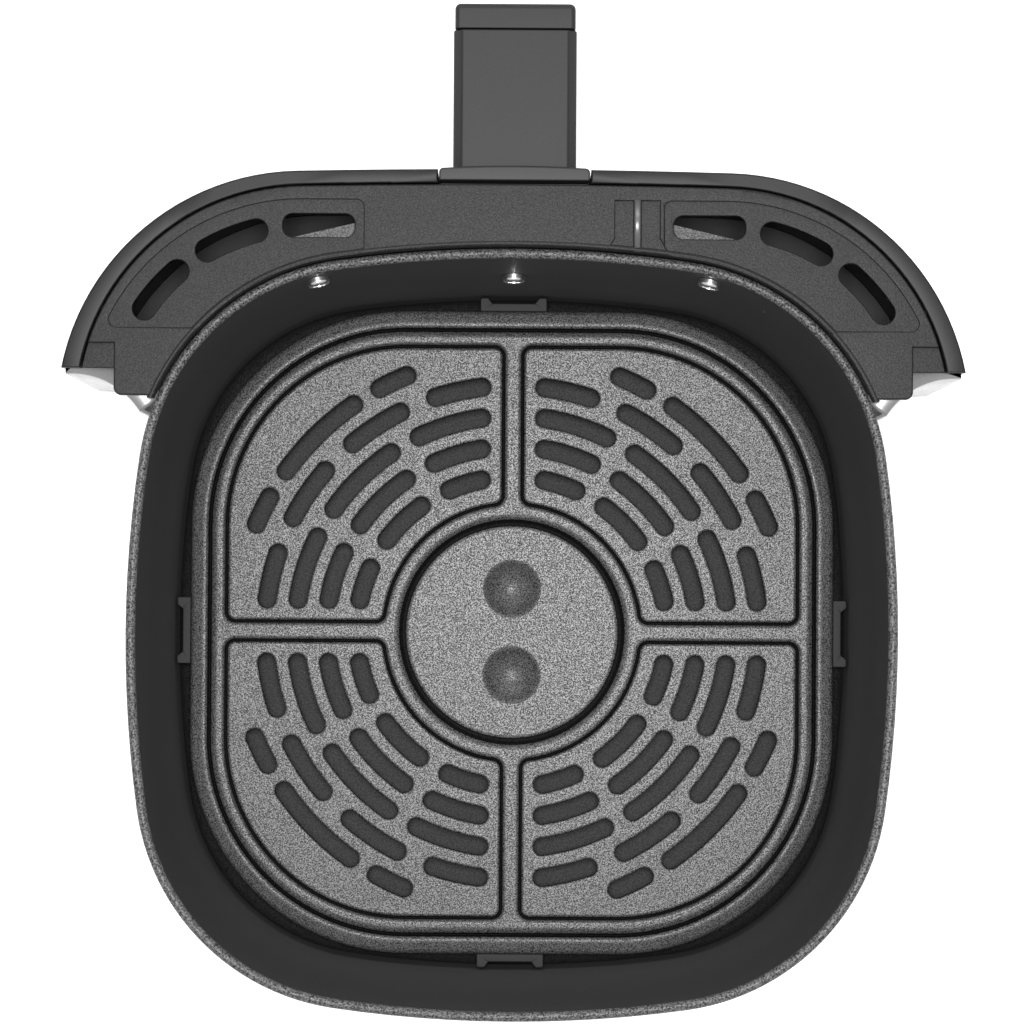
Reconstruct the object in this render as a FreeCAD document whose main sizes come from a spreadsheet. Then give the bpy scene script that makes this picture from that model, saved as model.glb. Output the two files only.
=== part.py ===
"""Drawer of a square-basket air fryer: coated pan, lift-out crisper plate, vented fascia and handle.

The origin is the centre of the pan's base, on the surface that it stands on. +Z is up and the
handle points to -Y. Every size is in millimetres, every angle in degrees.
"""
import FreeCAD
import Part
import math
import os
import Sketcher

Vector = FreeCAD.Vector
Rotation = FreeCAD.Rotation
Placement = FreeCAD.Placement

DRIVING = (
    # pan: pressed steel with a rolled rim, non-stick coated
    ("pan_height", 105.0),
    ("rim_half", 125.0),
    ("rim_side_radius", 404.0),
    ("rim_corner_radius", 75.0),
    ("bead_radius", 1.6),
    ("pan_wall", 1.2),
    ("pan_draft", 4.0),
    ("pan_foot_radius", 12.0),
    # crisper plate: pressed sheet with raised ribs, four slotted panels and a sunk disc
    ("plate_gap", 5.25),
    ("plate_corner_radius", 74.3),
    ("plate_top", 27.0),
    ("plate_sheet", 1.5),
    ("plate_skirt", 9.0),
    ("edge_groove_inset", 6.7),
    ("edge_groove_width", 2.2),
    ("panel_inset", 12.1),
    ("panel_depth", 2.0),
    ("press_line", 1.4),
    ("press_line_depth", 0.9),
    ("cross_rib", 6.2),
    ("ring_outer_radius", 44.1),
    ("disc_radius", 37.4),
    ("disc_depth", 3.4),
    ("dimple_offset", 14.9),
    ("dimple_radius", 9.4),
    ("dimple_depth", 4.4),
    ("slot_width", 6.0),
    ("slot_first_radius", 53.6),
    ("slot_pitch", 10.55),
    ("slot_bridge", 5.2),
    ("slot_wide_bridge", 7.3),
    ("slot_rib_clearance", 7.9),
    # silicone bumpers between the plate and the pan
    ("bumper_length", 23.0),
    ("bumper_height", 9.0),
    ("bumper_web", 2.8),
    ("bumper_gap", 0.45),
    ("bumper_horn", 2.6),
    ("bumper_drop", 2.5),
    # fascia: a crowned front with a round shoulder at each side
    ("cover_rise", 3.5),
    ("fascia_bottom", 2.0),
    ("crown_radius", 2800.0),
    ("shoulder_radius", 78.9),
    ("shoulder_across", 68.5),
    ("shoulder_forward", 70.5),
    ("fascia_rear", 85.2),
    ("frame_wall", 2.6),
    ("band_height", 4.5),
    ("band_width", 4.5),
    ("band_skew", 0.8),
    ("seam_gap", 0.4),
    ("skin_inset", 0.3),
    ("skin_sheet", 0.6),
    ("frame_clearance", 0.1),
    ("ledge_width", 13.0),
    ("ledge_sheet", 2.0),
    ("ledge_drop", 6.0),
    # top cover: vented moulding between the frame's band and the pan's rim
    ("cover_sheet", 2.5),
    ("rim_gap", 0.3),
    ("lip_sheet", 1.8),
    ("lip_drop", 6.0),
    ("cover_rear", 76.4),
    ("tab_outer", 129.0),
    ("edge_round", 0.6),
    ("boss_radius", 3.5),
    ("boss_across", 36.0),
    ("boss_inset", 9.2),
    ("side_boss_angle", 62.0),
    ("notch_front", 93.2),
    ("notch_drop", 1.6),
    ("vent_width", 7.6),
    ("vent_inset", 17.7),
    ("vent_panel_inset", 9.3),
    ("vent_panel_depth", 0.7),
    ("vent_panel_across", 48.6),
    ("vent_panel_rear", 98.4),
    ("key_across", 39.8),
    ("key_width", 14.5),
    ("key_front", 140.2),
    ("key_depth", 1.6),
    ("key_rib", 2.7),
    # bottom cover, end plates and heat shield
    ("bottom_sheet", 2.5),
    ("post_radius", 4.0),
    ("post_height", 14.0),
    ("pan_clearance", 2.5),
    ("end_sheet", 1.6),
    ("end_radius", 26.0),
    ("end_across", 143.0),
    ("end_back", 83.4),
    ("end_turn", 58.0),
    ("shield_sheet", 0.8),
    ("shield_gap", 0.4),
    ("shield_top", 56.0),
    ("shield_end", 88.0),
    # steel bracket that ties the pan, the fascia and the handle together
    ("bracket_sheet", 2.0),
    ("bracket_half", 78.0),
    ("bracket_nose", 141.0),
    ("bracket_nose_half", 20.0),
    ("bracket_end", 127.4),
    ("bracket_clearance", 0.4),
    ("tab_width", 14.0),
    ("nose_drop", 28.0),
    # pan screws
    ("side_screw_across", 64.6),
    ("side_screw_depth", 13.0),
    ("middle_screw_depth", 38.0),
    ("pan_screw", 4.0),
    ("pan_screw_head", 7.6),
    ("pan_screw_head_height", 2.4),
    ("pan_screw_length", 7.8),
    ("nut_across", 7.0),
    ("nut_height", 3.2),
    # handle: mount, arm and grip
    ("mount_half", 24.4),
    ("mount_proud", 1.0),
    ("mount_height", 46.5),
    ("mount_crown_radius", 400.0),
    ("handle_width", 40.0),
    ("handle_drop", 3.5),
    ("handle_reach", 53.4),
    ("arm_height", 26.0),
    ("grip_thick", 24.0),
    ("grip_bottom", 20.0),
    ("handle_wall", 2.6),
    ("handle_bevel", 2.8),
    ("grip_cover", 8.6),
    ("core_width", 18.0),
    ("core_sheet", 3.0),
    ("core_drop", 12.0),
    ("core_end", 42.0),
    ("flange_half", 15.0),
    ("flange_drop", 24.0),
    ("fit", 0.3),
    ("bolt", 5.0),
    ("bolt_head", 8.5),
    ("bolt_length", 10.0),
    ("bolt_across", 11.0),
    ("bolt_drop", 28.5),
    ("tapping_screw", 3.0),
    ("tapping_head", 5.6),
    ("tapping_head_height", 1.5),
    ("tapping_length", 7.0),
    ("grip_screw_length", 18.0),
    ("grip_screw_low", 50.0),
    ("grip_screw_high", 72.0),
)

doc = FreeCAD.newDocument("air_fryer_drawer")
sheet = doc.addObject("Spreadsheet::Sheet", "dims")
for row, (alias, number) in enumerate(DRIVING, 1):
    sheet.set(f"A{row}", alias)
    sheet.set(f"B{row}", str(number))
    sheet.setAlias(f"B{row}", alias)
doc.recompute()


def size(expression):
    """The value of an expression on the sheet's cells."""
    return float(sheet.evalExpression(expression))


def D(alias):
    """A driving dimension."""
    return float(sheet.get(alias))


# --- sketches -----------------------------------------------------------------------------------

AXIS_X = -1
AXIS_Y = -2
START = 1
END = 2
CENTRE = 3
UP = Vector(0, 0, 1)


def new_body(name):
    """An empty body whose label names its file."""
    body = doc.addObject("PartDesign::Body", name)
    body.Label = name
    return body


def new_sketch(body, name, plane="XY_Plane", lift=None):
    """A sketch on one of the body's own origin planes, lifted along the plane's normal."""
    sketch = body.newObject("Sketcher::SketchObject", f"{body.Name}_{name}")
    support = next(f for f in body.Origin.OriginFeatures if f.Role == plane)
    sketch.AttachmentSupport = [(support, "")]
    sketch.MapMode = "FlatFace"
    if lift:
        sketch.setExpression("AttachmentOffset.Base.z", lift)
    return sketch


def bind(sketch, expression, kind, *places):
    """A dimension of a sketch, driven by the sheet."""
    index = sketch.addConstraint(Sketcher.Constraint(kind, *places, size(expression)))
    sketch.setExpression(f"Constraints[{index}]", expression)


def relate(sketch, kind, *places):
    """A relation between two pieces of a sketch's geometry."""
    sketch.addConstraint(Sketcher.Constraint(kind, *places))


def arc(sketch, centre, radius, start, stop):
    """An arc from the angle start to the angle stop, in radians."""
    circle = Part.Circle(Vector(centre[0], centre[1], 0), UP, radius)
    return sketch.addGeometry(Part.ArcOfCircle(circle, start, stop))


def line(sketch, first, second):
    return sketch.addGeometry(Part.LineSegment(Vector(*first, 0), Vector(*second, 0)))


def chain(sketch, pieces, kind="Coincident"):
    """Each piece's end joined to the next piece's start."""
    for here, after in zip(pieces, pieces[1:] + pieces[:1]):
        relate(sketch, kind, here, END, after, START)


def pan_outline(sketch, inset):
    """The pan's outline, eight tangent arcs, inset from the outside of its rolled rim."""
    half = size(f"dims.rim_half - ({inset})")
    side = size(f"dims.rim_side_radius - ({inset})")
    corner = size(f"dims.rim_corner_radius - ({inset})")
    reach = side - half
    gap = side - corner
    middle = (math.sqrt(2 * gap**2 - reach**2) - reach) / 2
    turn = math.asin(middle / gap)
    arcs = []
    for quarter in range(4):
        angle = quarter * math.pi / 2
        cos, sin = round(math.cos(angle)), round(math.sin(angle))
        arcs.append(arc(sketch, (-reach * cos, -reach * sin), side, angle - turn, angle + turn))
        centre = (middle * (cos - sin), middle * (cos + sin))
        arcs.append(arc(sketch, centre, corner, angle + turn, angle + math.pi / 2 - turn))
    chain(sketch, arcs, "Tangent")
    for other in (2, 4, 6):
        relate(sketch, "Equal", arcs[0], arcs[other])
        relate(sketch, "Equal", arcs[1], arcs[other + 1])
    bind(sketch, f"dims.rim_side_radius - ({inset})", "Radius", arcs[0])
    bind(sketch, f"dims.rim_corner_radius - ({inset})", "Radius", arcs[1])
    for index, axis in ((0, AXIS_X), (4, AXIS_X), (2, AXIS_Y), (6, AXIS_Y)):
        relate(sketch, "PointOnObject", arcs[index], CENTRE, axis)
    bind(sketch, "dims.rim_side_radius - dims.rim_half", "DistanceX", arcs[0], CENTRE, AXIS_X, START)
    bind(sketch, "dims.rim_side_radius - dims.rim_half", "DistanceX", AXIS_X, START, arcs[4], CENTRE)
    bind(sketch, "dims.rim_side_radius - dims.rim_half", "DistanceY", arcs[2], CENTRE, AXIS_X, START)
    bind(sketch, "dims.rim_side_radius - dims.rim_half", "DistanceY", AXIS_X, START, arcs[6], CENTRE)
    return arcs


def plate_outline(sketch, inset):
    """The crisper plate's outline, a square with round corners, inset from its edge."""
    half = size(f"{PLATE_HALF} - ({inset})")
    corner = size(f"dims.plate_corner_radius - ({inset})")
    middle = half - corner
    pieces = []
    for quarter in range(4):
        angle = quarter * math.pi / 2
        cos, sin = round(math.cos(angle)), round(math.sin(angle))
        first = (half * cos + middle * sin, half * sin - middle * cos)
        second = (half * cos - middle * sin, half * sin + middle * cos)
        pieces.append(line(sketch, first, second))
        centre = (middle * (cos - sin), middle * (cos + sin))
        pieces.append(arc(sketch, centre, corner, angle, angle + math.pi / 2))
    chain(sketch, pieces, "Tangent")
    for other in (3, 5, 7):
        relate(sketch, "Equal", pieces[1], pieces[other])
    bind(sketch, f"dims.plate_corner_radius - ({inset})", "Radius", pieces[1])
    for index, direction in ((0, "Vertical"), (4, "Vertical"), (2, "Horizontal"), (6, "Horizontal")):
        relate(sketch, direction, pieces[index])
    reach = f"{PLATE_HALF} - ({inset})"
    bind(sketch, reach, "DistanceX", AXIS_X, START, pieces[0], START)
    bind(sketch, reach, "DistanceX", pieces[4], START, AXIS_X, START)
    bind(sketch, reach, "DistanceY", AXIS_X, START, pieces[2], START)
    bind(sketch, reach, "DistanceY", pieces[6], START, AXIS_X, START)
    return pieces


def fascia_outline(sketch, inset, rear, skew="0"):
    """The fascia's plan: crown, two round shoulders and a straight line across at the rear."""
    across = size(f"dims.shoulder_across - ({skew})")
    forward = size(f"dims.shoulder_forward + ({skew})")
    shoulder = size(f"dims.shoulder_radius - ({inset}) - ({skew})")
    crown = size(f"dims.crown_radius - ({inset})")
    rear_line = size(rear)
    turn = math.asin(across / (crown - shoulder))
    centre = (crown - shoulder) * math.cos(turn) - forward
    side = across + math.sqrt(shoulder**2 - (forward - rear_line) ** 2)
    stop = math.atan2(forward - rear_line, side - across)
    down = -math.pi / 2
    pieces = [
        arc(sketch, (0, centre), crown, down - turn, down + turn),
        arc(sketch, (across, -forward), shoulder, down + turn, stop),
        line(sketch, (side, -rear_line), (-side, -rear_line)),
        arc(sketch, (-across, -forward), shoulder, math.pi - stop, down - turn + 2 * math.pi),
    ]
    front, right, back, left = pieces
    relate(sketch, "Tangent", front, END, right, START)
    relate(sketch, "Tangent", left, END, front, START)
    relate(sketch, "Coincident", right, END, back, START)
    relate(sketch, "Coincident", back, END, left, START)
    relate(sketch, "Horizontal", back)
    relate(sketch, "Equal", right, left)
    relate(sketch, "Symmetric", right, CENTRE, left, CENTRE, AXIS_Y)
    bind(sketch, f"dims.crown_radius - ({inset})", "Radius", front)
    bind(sketch, f"dims.shoulder_radius - ({inset}) - ({skew})", "Radius", right)
    bind(sketch, f"dims.shoulder_across - ({skew})", "DistanceX", AXIS_X, START, right, CENTRE)
    bind(sketch, f"dims.shoulder_forward + ({skew})", "DistanceY", right, CENTRE, AXIS_X, START)
    bind(sketch, rear, "DistanceY", back, START, AXIS_X, START)
    return pieces


def rectangle(sketch, left, bottom, width, height):
    """A rectangle placed by its lower left corner, every size an expression."""
    x0, y0 = size(left), size(bottom)
    x1, y1 = x0 + size(width), y0 + size(height)
    corners = ((x0, y0), (x1, y0), (x1, y1), (x0, y1))
    lines = [line(sketch, a, b) for a, b in zip(corners, corners[1:] + corners[:1])]
    chain(sketch, lines)
    for index, direction in enumerate(("Horizontal", "Vertical") * 2):
        relate(sketch, direction, lines[index])
    bind(sketch, width, "DistanceX", lines[0], START, lines[0], END)
    bind(sketch, height, "DistanceY", lines[1], START, lines[1], END)
    bind(sketch, left, "DistanceX", AXIS_X, START, lines[0], START)
    bind(sketch, bottom, "DistanceY", AXIS_X, START, lines[0], START)
    return lines


def circle(sketch, across, up, radius):
    """A circle placed by its centre, every size an expression."""
    shape = Part.Circle(Vector(size(across), size(up), 0), UP, size(radius))
    index = sketch.addGeometry(shape)
    bind(sketch, radius, "Radius", index)
    bind(sketch, across, "DistanceX", AXIS_X, START, index, CENTRE)
    bind(sketch, up, "DistanceY", AXIS_X, START, index, CENTRE)
    return index


def polygon(sketch, corners):
    """A closed run of lines through corners given as pairs of expressions."""
    points = [(size(across), size(up)) for across, up in corners]
    lines = [line(sketch, a, b) for a, b in zip(points, points[1:] + points[:1])]
    chain(sketch, lines)
    for index, (across, up) in zip(lines, corners):
        bind(sketch, across, "DistanceX", AXIS_X, START, index, START)
        bind(sketch, up, "DistanceY", AXIS_X, START, index, START)
    return lines


def ring_slot(sketch, centre, radius, width, start, stop):
    """A slot with round ends along an arc; start and stop, in degrees, are its outermost points."""
    middle, breadth = size(radius), size(width)
    cap = math.degrees(math.asin(breadth / 2 / middle))
    first, last = math.radians(start + cap), math.radians(stop - cap)
    outer = arc(sketch, centre, middle + breadth / 2, first, last)
    inner = arc(sketch, centre, middle - breadth / 2, first, last)
    caps = []
    for angle, turned in ((last, 0), (first, math.pi)):
        point = (centre[0] + middle * math.cos(angle), centre[1] + middle * math.sin(angle))
        caps.append(arc(sketch, point, breadth / 2, angle + turned, angle + turned + math.pi))
    relate(sketch, "Tangent", outer, END, caps[0], START)
    relate(sketch, "Tangent", caps[0], END, inner, END)
    relate(sketch, "Tangent", inner, START, caps[1], START)
    relate(sketch, "Tangent", caps[1], END, outer, START)
    bind(sketch, f"{radius} + {width} / 2", "Radius", outer)
    bind(sketch, f"{width} / 2", "Radius", caps[0])
    return outer


# --- features -----------------------------------------------------------------------------------


def pad(body, sketch, length, name, taper=None, midplane=False, down=False):
    """A pad of the sketch; it has to add metal or plastic."""
    before = volume(body)
    feature = body.newObject("PartDesign::Pad", f"{body.Name}_{name}")
    feature.Profile = sketch
    feature.setExpression("Length", length)
    feature.Midplane = midplane
    feature.Reversed = down
    if taper:
        feature.setExpression("TaperAngle", taper)
    doc.recompute()
    if not volume(body) > before:
        raise RuntimeError(f"{feature.Name} adds nothing")
    return feature


def pocket(body, sketch, length, name, taper=None, up=False, midplane=False):
    """A pocket of the sketch, away from its normal or, with up, along it; it has to cut."""
    before = volume(body)
    feature = body.newObject("PartDesign::Pocket", f"{body.Name}_{name}")
    feature.Profile = sketch
    feature.setExpression("Length", length)
    feature.Midplane = midplane
    feature.Reversed = up
    if taper:
        feature.setExpression("TaperAngle", taper)
    doc.recompute()
    if not volume(body) < before:
        raise RuntimeError(f"{feature.Name} cuts nothing")
    return feature


def volume(body):
    """The body's volume so far."""
    shape = body.Shape
    return 0.0 if shape.isNull() else shape.Volume


def round_edges(body, base, wanted, radius, name, kind="Fillet"):
    """A fillet or chamfer on each edge of the base feature that the test wants."""
    edges = [f"Edge{i}" for i, edge in enumerate(base.Shape.Edges, 1) if wanted(edge)]
    if not edges:
        raise RuntimeError(f"{body.Name}_{name} finds no edge")
    feature = body.newObject(f"PartDesign::{kind}", f"{body.Name}_{name}")
    feature.Base = (base, edges)
    feature.setExpression("Radius" if kind == "Fillet" else "Size", radius)
    doc.recompute()
    return feature


def level(edge, height):
    """True where the whole edge lies at one height."""
    box = edge.BoundBox
    return abs(box.ZMin - height) < 0.01 and abs(box.ZMax - height) < 0.01


def upright(edge):
    """True where the edge is a vertical line."""
    box = edge.BoundBox
    return box.XLength < 0.01 and box.YLength < 0.01


def around(body, feature, count, name):
    """The feature repeated about the vertical axis."""
    pattern = body.newObject("PartDesign::PolarPattern", f"{body.Name}_{name}")
    pattern.Originals = [feature]
    pattern.Axis = (next(f for f in body.Origin.OriginFeatures if f.Role == "Z_Axis"), [""])
    pattern.Angle = 360
    pattern.Occurrences = count
    body.Tip = pattern
    doc.recompute()
    return pattern


# --- pan ----------------------------------------------------------------------------------------

WALL_TOP = "(dims.pan_height - dims.bead_radius)"
WALL_INSET = f"(dims.bead_radius + {WALL_TOP} * tan(dims.pan_draft))"
FASCIA_TOP = "(dims.pan_height + dims.cover_rise)"


def wall_inset(height):
    """How far the pan's outer wall lies inside the outside of the rim at a height."""
    return size(f"dims.bead_radius + ({WALL_TOP} - {height}) * tan(dims.pan_draft)")


def wall_front(across, inset):
    """The Y of the pan's front outline at a place across it, and the outward normal there."""
    reach = size("dims.rim_side_radius - dims.rim_half")
    gap = size("dims.rim_side_radius - dims.rim_corner_radius")
    middle = (math.sqrt(2 * gap**2 - reach**2) - reach) / 2
    corner = D("rim_corner_radius") - inset
    side = D("rim_side_radius") - inset
    if abs(across) <= side * middle / gap:
        forward = math.sqrt(side**2 - across**2)
        return reach - forward, Vector(across / side, -forward / side, 0)
    over = abs(across) - middle
    forward = math.sqrt(corner**2 - over**2)
    return -(middle + forward), Vector(math.copysign(over, across) / corner, -forward / corner, 0)


def make_pan():
    body = new_body("pan")
    outline = new_sketch(body, "base_outline")
    pan_outline(outline, WALL_INSET)
    pad(body, outline, WALL_TOP, "block", taper="dims.pan_draft")
    inner = new_sketch(body, "inner_outline", lift="dims.pan_wall")
    pan_outline(inner, f"{WALL_INSET} + dims.pan_wall - dims.pan_wall * tan(dims.pan_draft)")
    hollow = pocket(body, inner, "dims.pan_height", "hollow", taper="dims.pan_draft", up=True)
    floor = D("pan_wall")
    inside = "dims.pan_foot_radius - dims.pan_wall"
    rounded = round_edges(body, hollow, lambda e: level(e, floor), inside, "inner_foot")
    round_edges(body, rounded, lambda e: level(e, 0), "dims.pan_foot_radius", "foot")
    path = new_sketch(body, "rim_path", lift=WALL_TOP)
    pan_outline(path, "dims.bead_radius")
    profile = new_sketch(body, "rim_section", "XZ_Plane")
    circle(profile, "dims.rim_half - dims.bead_radius", WALL_TOP, "dims.bead_radius")
    doc.recompute()
    bead = body.newObject("PartDesign::AdditivePipe", "pan_rolled_rim")
    bead.Profile = profile
    bead.Spine = (path, [f"Edge{i}" for i in range(1, 9)])
    doc.recompute()
    for index, (place, turn) in enumerate(screw_places()):
        hole = body.newObject("PartDesign::SubtractiveCylinder", f"pan_screw_hole_{index}")
        hole.setExpression("Radius", "dims.pan_screw / 2 + 0.2")
        hole.setExpression("Height", "dims.pan_wall * 6")
        out = turn.multVec(UP)
        hole.Placement = Placement(place - out * (3 * D("pan_wall")), turn)
        doc.recompute()
    return body


def screw_places():
    """Where each pan screw passes the outside of the wall, and its turn: +Z points outwards."""
    places = []
    sides = (("-dims.side_screw_across", "dims.side_screw_depth"), ("0", "dims.middle_screw_depth"))
    for across, depth in sides + (("dims.side_screw_across", "dims.side_screw_depth"),):
        x = size(across)
        height = size(f"dims.pan_height - {depth}")
        y, normal = wall_front(x, wall_inset(height))
        tilt = math.radians(D("pan_draft"))
        out = Vector(normal.x * math.cos(tilt), normal.y * math.cos(tilt), -math.sin(tilt))
        places.append((Vector(x, y, height), Rotation(Vector(), UP, out, "ZYX")))
    return places


# --- crisper plate ------------------------------------------------------------------------------

PLATE_BODY = "(dims.panel_depth + dims.plate_sheet)"
BUMPER_BOTTOM = "(dims.plate_top - dims.bumper_drop - dims.bumper_height)"
BUMPER_REACH = "(dims.plate_gap - dims.bumper_gap)"
PLATE_HALF = (
    f"(dims.rim_half - dims.bead_radius - ({WALL_TOP} - {BUMPER_BOTTOM}) * tan(dims.pan_draft)"
    " - dims.pan_wall - dims.plate_gap)"
)
SLOT_ROWS = (
    # bridges between the slots of a row, in degrees from the nearest rib
    (30, 60),
    (30, 60),
    (30, 60),
    (22.8, 45, 67.2),
)
OUTER_ROW = ((20.8, 30.6), (33.4, 56.6), (59.4, 69.2))


def panel_outline(sketch, inset):
    """One slotted quarter panel: two edges along the ribs, one round the ring, one at the border."""
    rib = size(f"dims.cross_rib / 2 + ({inset})")
    ring = size(f"dims.ring_outer_radius + ({inset})")
    reach = size(f"{PLATE_HALF} - dims.panel_inset - ({inset})")
    corner = size(f"dims.plate_corner_radius - dims.panel_inset - ({inset})")
    middle = reach - corner
    along = math.sqrt(ring**2 - rib**2)
    turn = math.asin(rib / ring)
    pieces = [
        line(sketch, (along, rib), (reach, rib)),
        line(sketch, (reach, rib), (reach, middle)),
        arc(sketch, (middle, middle), corner, 0, math.pi / 2),
        line(sketch, (middle, reach), (rib, reach)),
        line(sketch, (rib, reach), (rib, along)),
    ]
    ring_arc = arc(sketch, (0, 0), ring, turn, math.pi / 2 - turn)
    chain_ends = zip(pieces, pieces[1:])
    for here, after in chain_ends:
        relate(sketch, "Coincident", here, END, after, START)
    relate(sketch, "Coincident", pieces[-1], END, ring_arc, END)
    relate(sketch, "Coincident", ring_arc, START, pieces[0], START)
    relate(sketch, "Coincident", ring_arc, CENTRE, AXIS_X, START)
    relate(sketch, "Horizontal", pieces[0])
    relate(sketch, "Vertical", pieces[1])
    relate(sketch, "Horizontal", pieces[3])
    relate(sketch, "Vertical", pieces[4])
    bind(sketch, f"dims.ring_outer_radius + ({inset})", "Radius", ring_arc)
    bind(sketch, f"dims.plate_corner_radius - dims.panel_inset - ({inset})", "Radius", pieces[2])
    return pieces + [ring_arc]


def make_crisper_plate():
    body = new_body("crisper_plate")
    under = f"dims.plate_top - {PLATE_BODY}"
    outline = new_sketch(body, "outline", lift=under)
    plate_outline(outline, "0")
    top = pad(body, outline, PLATE_BODY, "sheet")
    edge_height = D("plate_top")
    round_edges(body, top, lambda e: level(e, edge_height), "dims.panel_depth", "rolled_edge")
    skirt = new_sketch(body, "skirt", lift=under)
    plate_outline(skirt, "0")
    plate_outline(skirt, "dims.plate_sheet")
    pad(body, skirt, "dims.plate_skirt", "skirt", down=True)
    well = new_sketch(body, "well", lift=f"dims.plate_top - dims.disc_depth - dims.plate_sheet")
    circle(well, "0", "0", "dims.disc_radius + dims.plate_sheet + dims.panel_depth")
    pad(body, well, "dims.disc_depth", "well")
    groove = new_sketch(body, "edge_groove", lift="dims.plate_top")
    plate_outline(groove, "dims.edge_groove_inset - dims.edge_groove_width / 2")
    plate_outline(groove, "dims.edge_groove_inset + dims.edge_groove_width / 2")
    cut = pocket(body, groove, "dims.edge_groove_width / 2", "edge_groove")
    groove_floor = size("dims.plate_top - dims.edge_groove_width / 2")
    round_edges(
        body, cut, lambda e: level(e, groove_floor), "dims.edge_groove_width * 0.45", "edge_groove_round"
    )
    disc = new_sketch(body, "disc", lift="dims.plate_top")
    circle(disc, "0", "0", "dims.disc_radius")
    sunk = pocket(body, disc, "dims.disc_depth", "disc")
    mouth = D("disc_radius")
    round_edges(
        body,
        sunk,
        lambda e: level(e, edge_height) and abs(e.BoundBox.XMax - mouth) < 0.01,
        "dims.disc_depth * 0.8",
        "disc_round",
    )
    panel = new_sketch(body, "panel", lift="dims.plate_top")
    panel_outline(panel, "0")
    around(body, pocket(body, panel, "dims.panel_depth", "panel"), 4, "panels")
    press = new_sketch(body, "press_line", lift="dims.plate_top - dims.panel_depth")
    panel_outline(press, "0")
    panel_outline(press, "dims.press_line")
    around(body, pocket(body, press, "dims.press_line_depth", "press_line"), 4, "press_lines")
    slots = new_sketch(body, "slots", lift="dims.plate_top")
    for row, bridges in enumerate(SLOT_ROWS):
        radius = f"(dims.slot_first_radius + {row} * dims.slot_pitch)"
        middle = size(radius)
        edge = math.degrees(math.asin(D("slot_rib_clearance") / middle))
        bridge_name = "slot_wide_bridge" if len(bridges) > 2 else "slot_bridge"
        half_bridge = math.degrees(D(bridge_name) / 2 / middle)
        starts = (edge, *(bridge + half_bridge for bridge in bridges))
        stops = (*(bridge - half_bridge for bridge in bridges), 90 - edge)
        for start, stop in zip(starts, stops):
            ring_slot(slots, (0, 0), radius, "dims.slot_width", start, stop)
    outer_radius = f"(dims.slot_first_radius + {len(SLOT_ROWS)} * dims.slot_pitch)"
    for start, stop in OUTER_ROW:
        ring_slot(slots, (0, 0), outer_radius, "dims.slot_width", start, stop)
    around(body, pocket(body, slots, "dims.plate_top", "slots"), 4, "slot_rings")
    return make_dimples(body)


def make_dimples(body):
    """Two finger dimples, pressed through the disc to lift the plate out by."""
    floor = size("dims.plate_top - dims.disc_depth")
    radius = size("(dims.dimple_radius ^ 2 + dims.dimple_depth ^ 2) / (2 * dims.dimple_depth)")
    crown = floor - D("dimple_depth") + radius
    for kind, name, grow in (("Revolution", "dimple_back", D("plate_sheet")), ("Groove", "dimple", 0)):
        profile = new_sketch(body, name, "YZ_Plane")
        middle = D("dimple_offset")
        ball = radius + grow
        bottom = crown - ball
        edge = math.sqrt(ball**2 - (crown - floor) ** 2)
        turn = math.asin((crown - floor) / ball)
        pieces = [
            line(profile, (middle, bottom), (middle, floor)),
            line(profile, (middle, floor), (middle + edge, floor)),
            arc(profile, (middle, crown), ball, -math.pi / 2, -turn),
        ]
        relate(profile, "Coincident", pieces[0], END, pieces[1], START)
        relate(profile, "Coincident", pieces[1], END, pieces[2], END)
        relate(profile, "Coincident", pieces[2], START, pieces[0], START)
        relate(profile, "Vertical", pieces[0])
        relate(profile, "Horizontal", pieces[1])
        bind(profile, "dims.dimple_offset", "DistanceX", AXIS_X, START, pieces[0], START)
        bind(profile, "dims.plate_top - dims.disc_depth", "DistanceY", AXIS_X, START, pieces[0], END)
        feature = body.newObject(f"PartDesign::{kind}", f"{body.Name}_{name}_turned")
        feature.Profile = profile
        feature.ReferenceAxis = (profile, ["Edge1"])
        feature.Angle = 360
        doc.recompute()
        around(body, feature, 2, f"{name}s")
    return body


def make_bumper(name, turn):
    """A silicone bumper clipped to one side of the plate, with a horn at each end."""
    body = new_body(name)
    plan = new_sketch(body, "plan", lift=BUMPER_BOTTOM)
    far = f"-{PLATE_HALF} - {BUMPER_REACH}"
    web = f"-{PLATE_HALF} - dims.bumper_web"
    near = f"-{PLATE_HALF}"
    half = "dims.bumper_length / 2"
    horn = "dims.bumper_length / 2 - dims.bumper_horn"
    slope = "dims.bumper_length / 2 - dims.bumper_horn * 1.6"
    corners = [
        (half, near),
        (half, far),
        (horn, far),
        (slope, web),
        (f"-({slope})", web),
        (f"-({horn})", far),
        (f"-({half})", far),
        (f"-({half})", near),
    ]
    polygon(plan, corners[::-1])
    block = pad(body, plan, "dims.bumper_height", "block")
    face = -size(f"{PLATE_HALF} + dims.bumper_web") + 0.01
    round_edges(
        body, block, lambda e: upright(e) and e.BoundBox.YMax < face, "dims.bumper_horn * 0.3", "soft"
    )
    body.Placement = Placement(Vector(), Rotation(UP, turn))
    doc.recompute()
    return body


# --- fascia -------------------------------------------------------------------------------------

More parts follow.
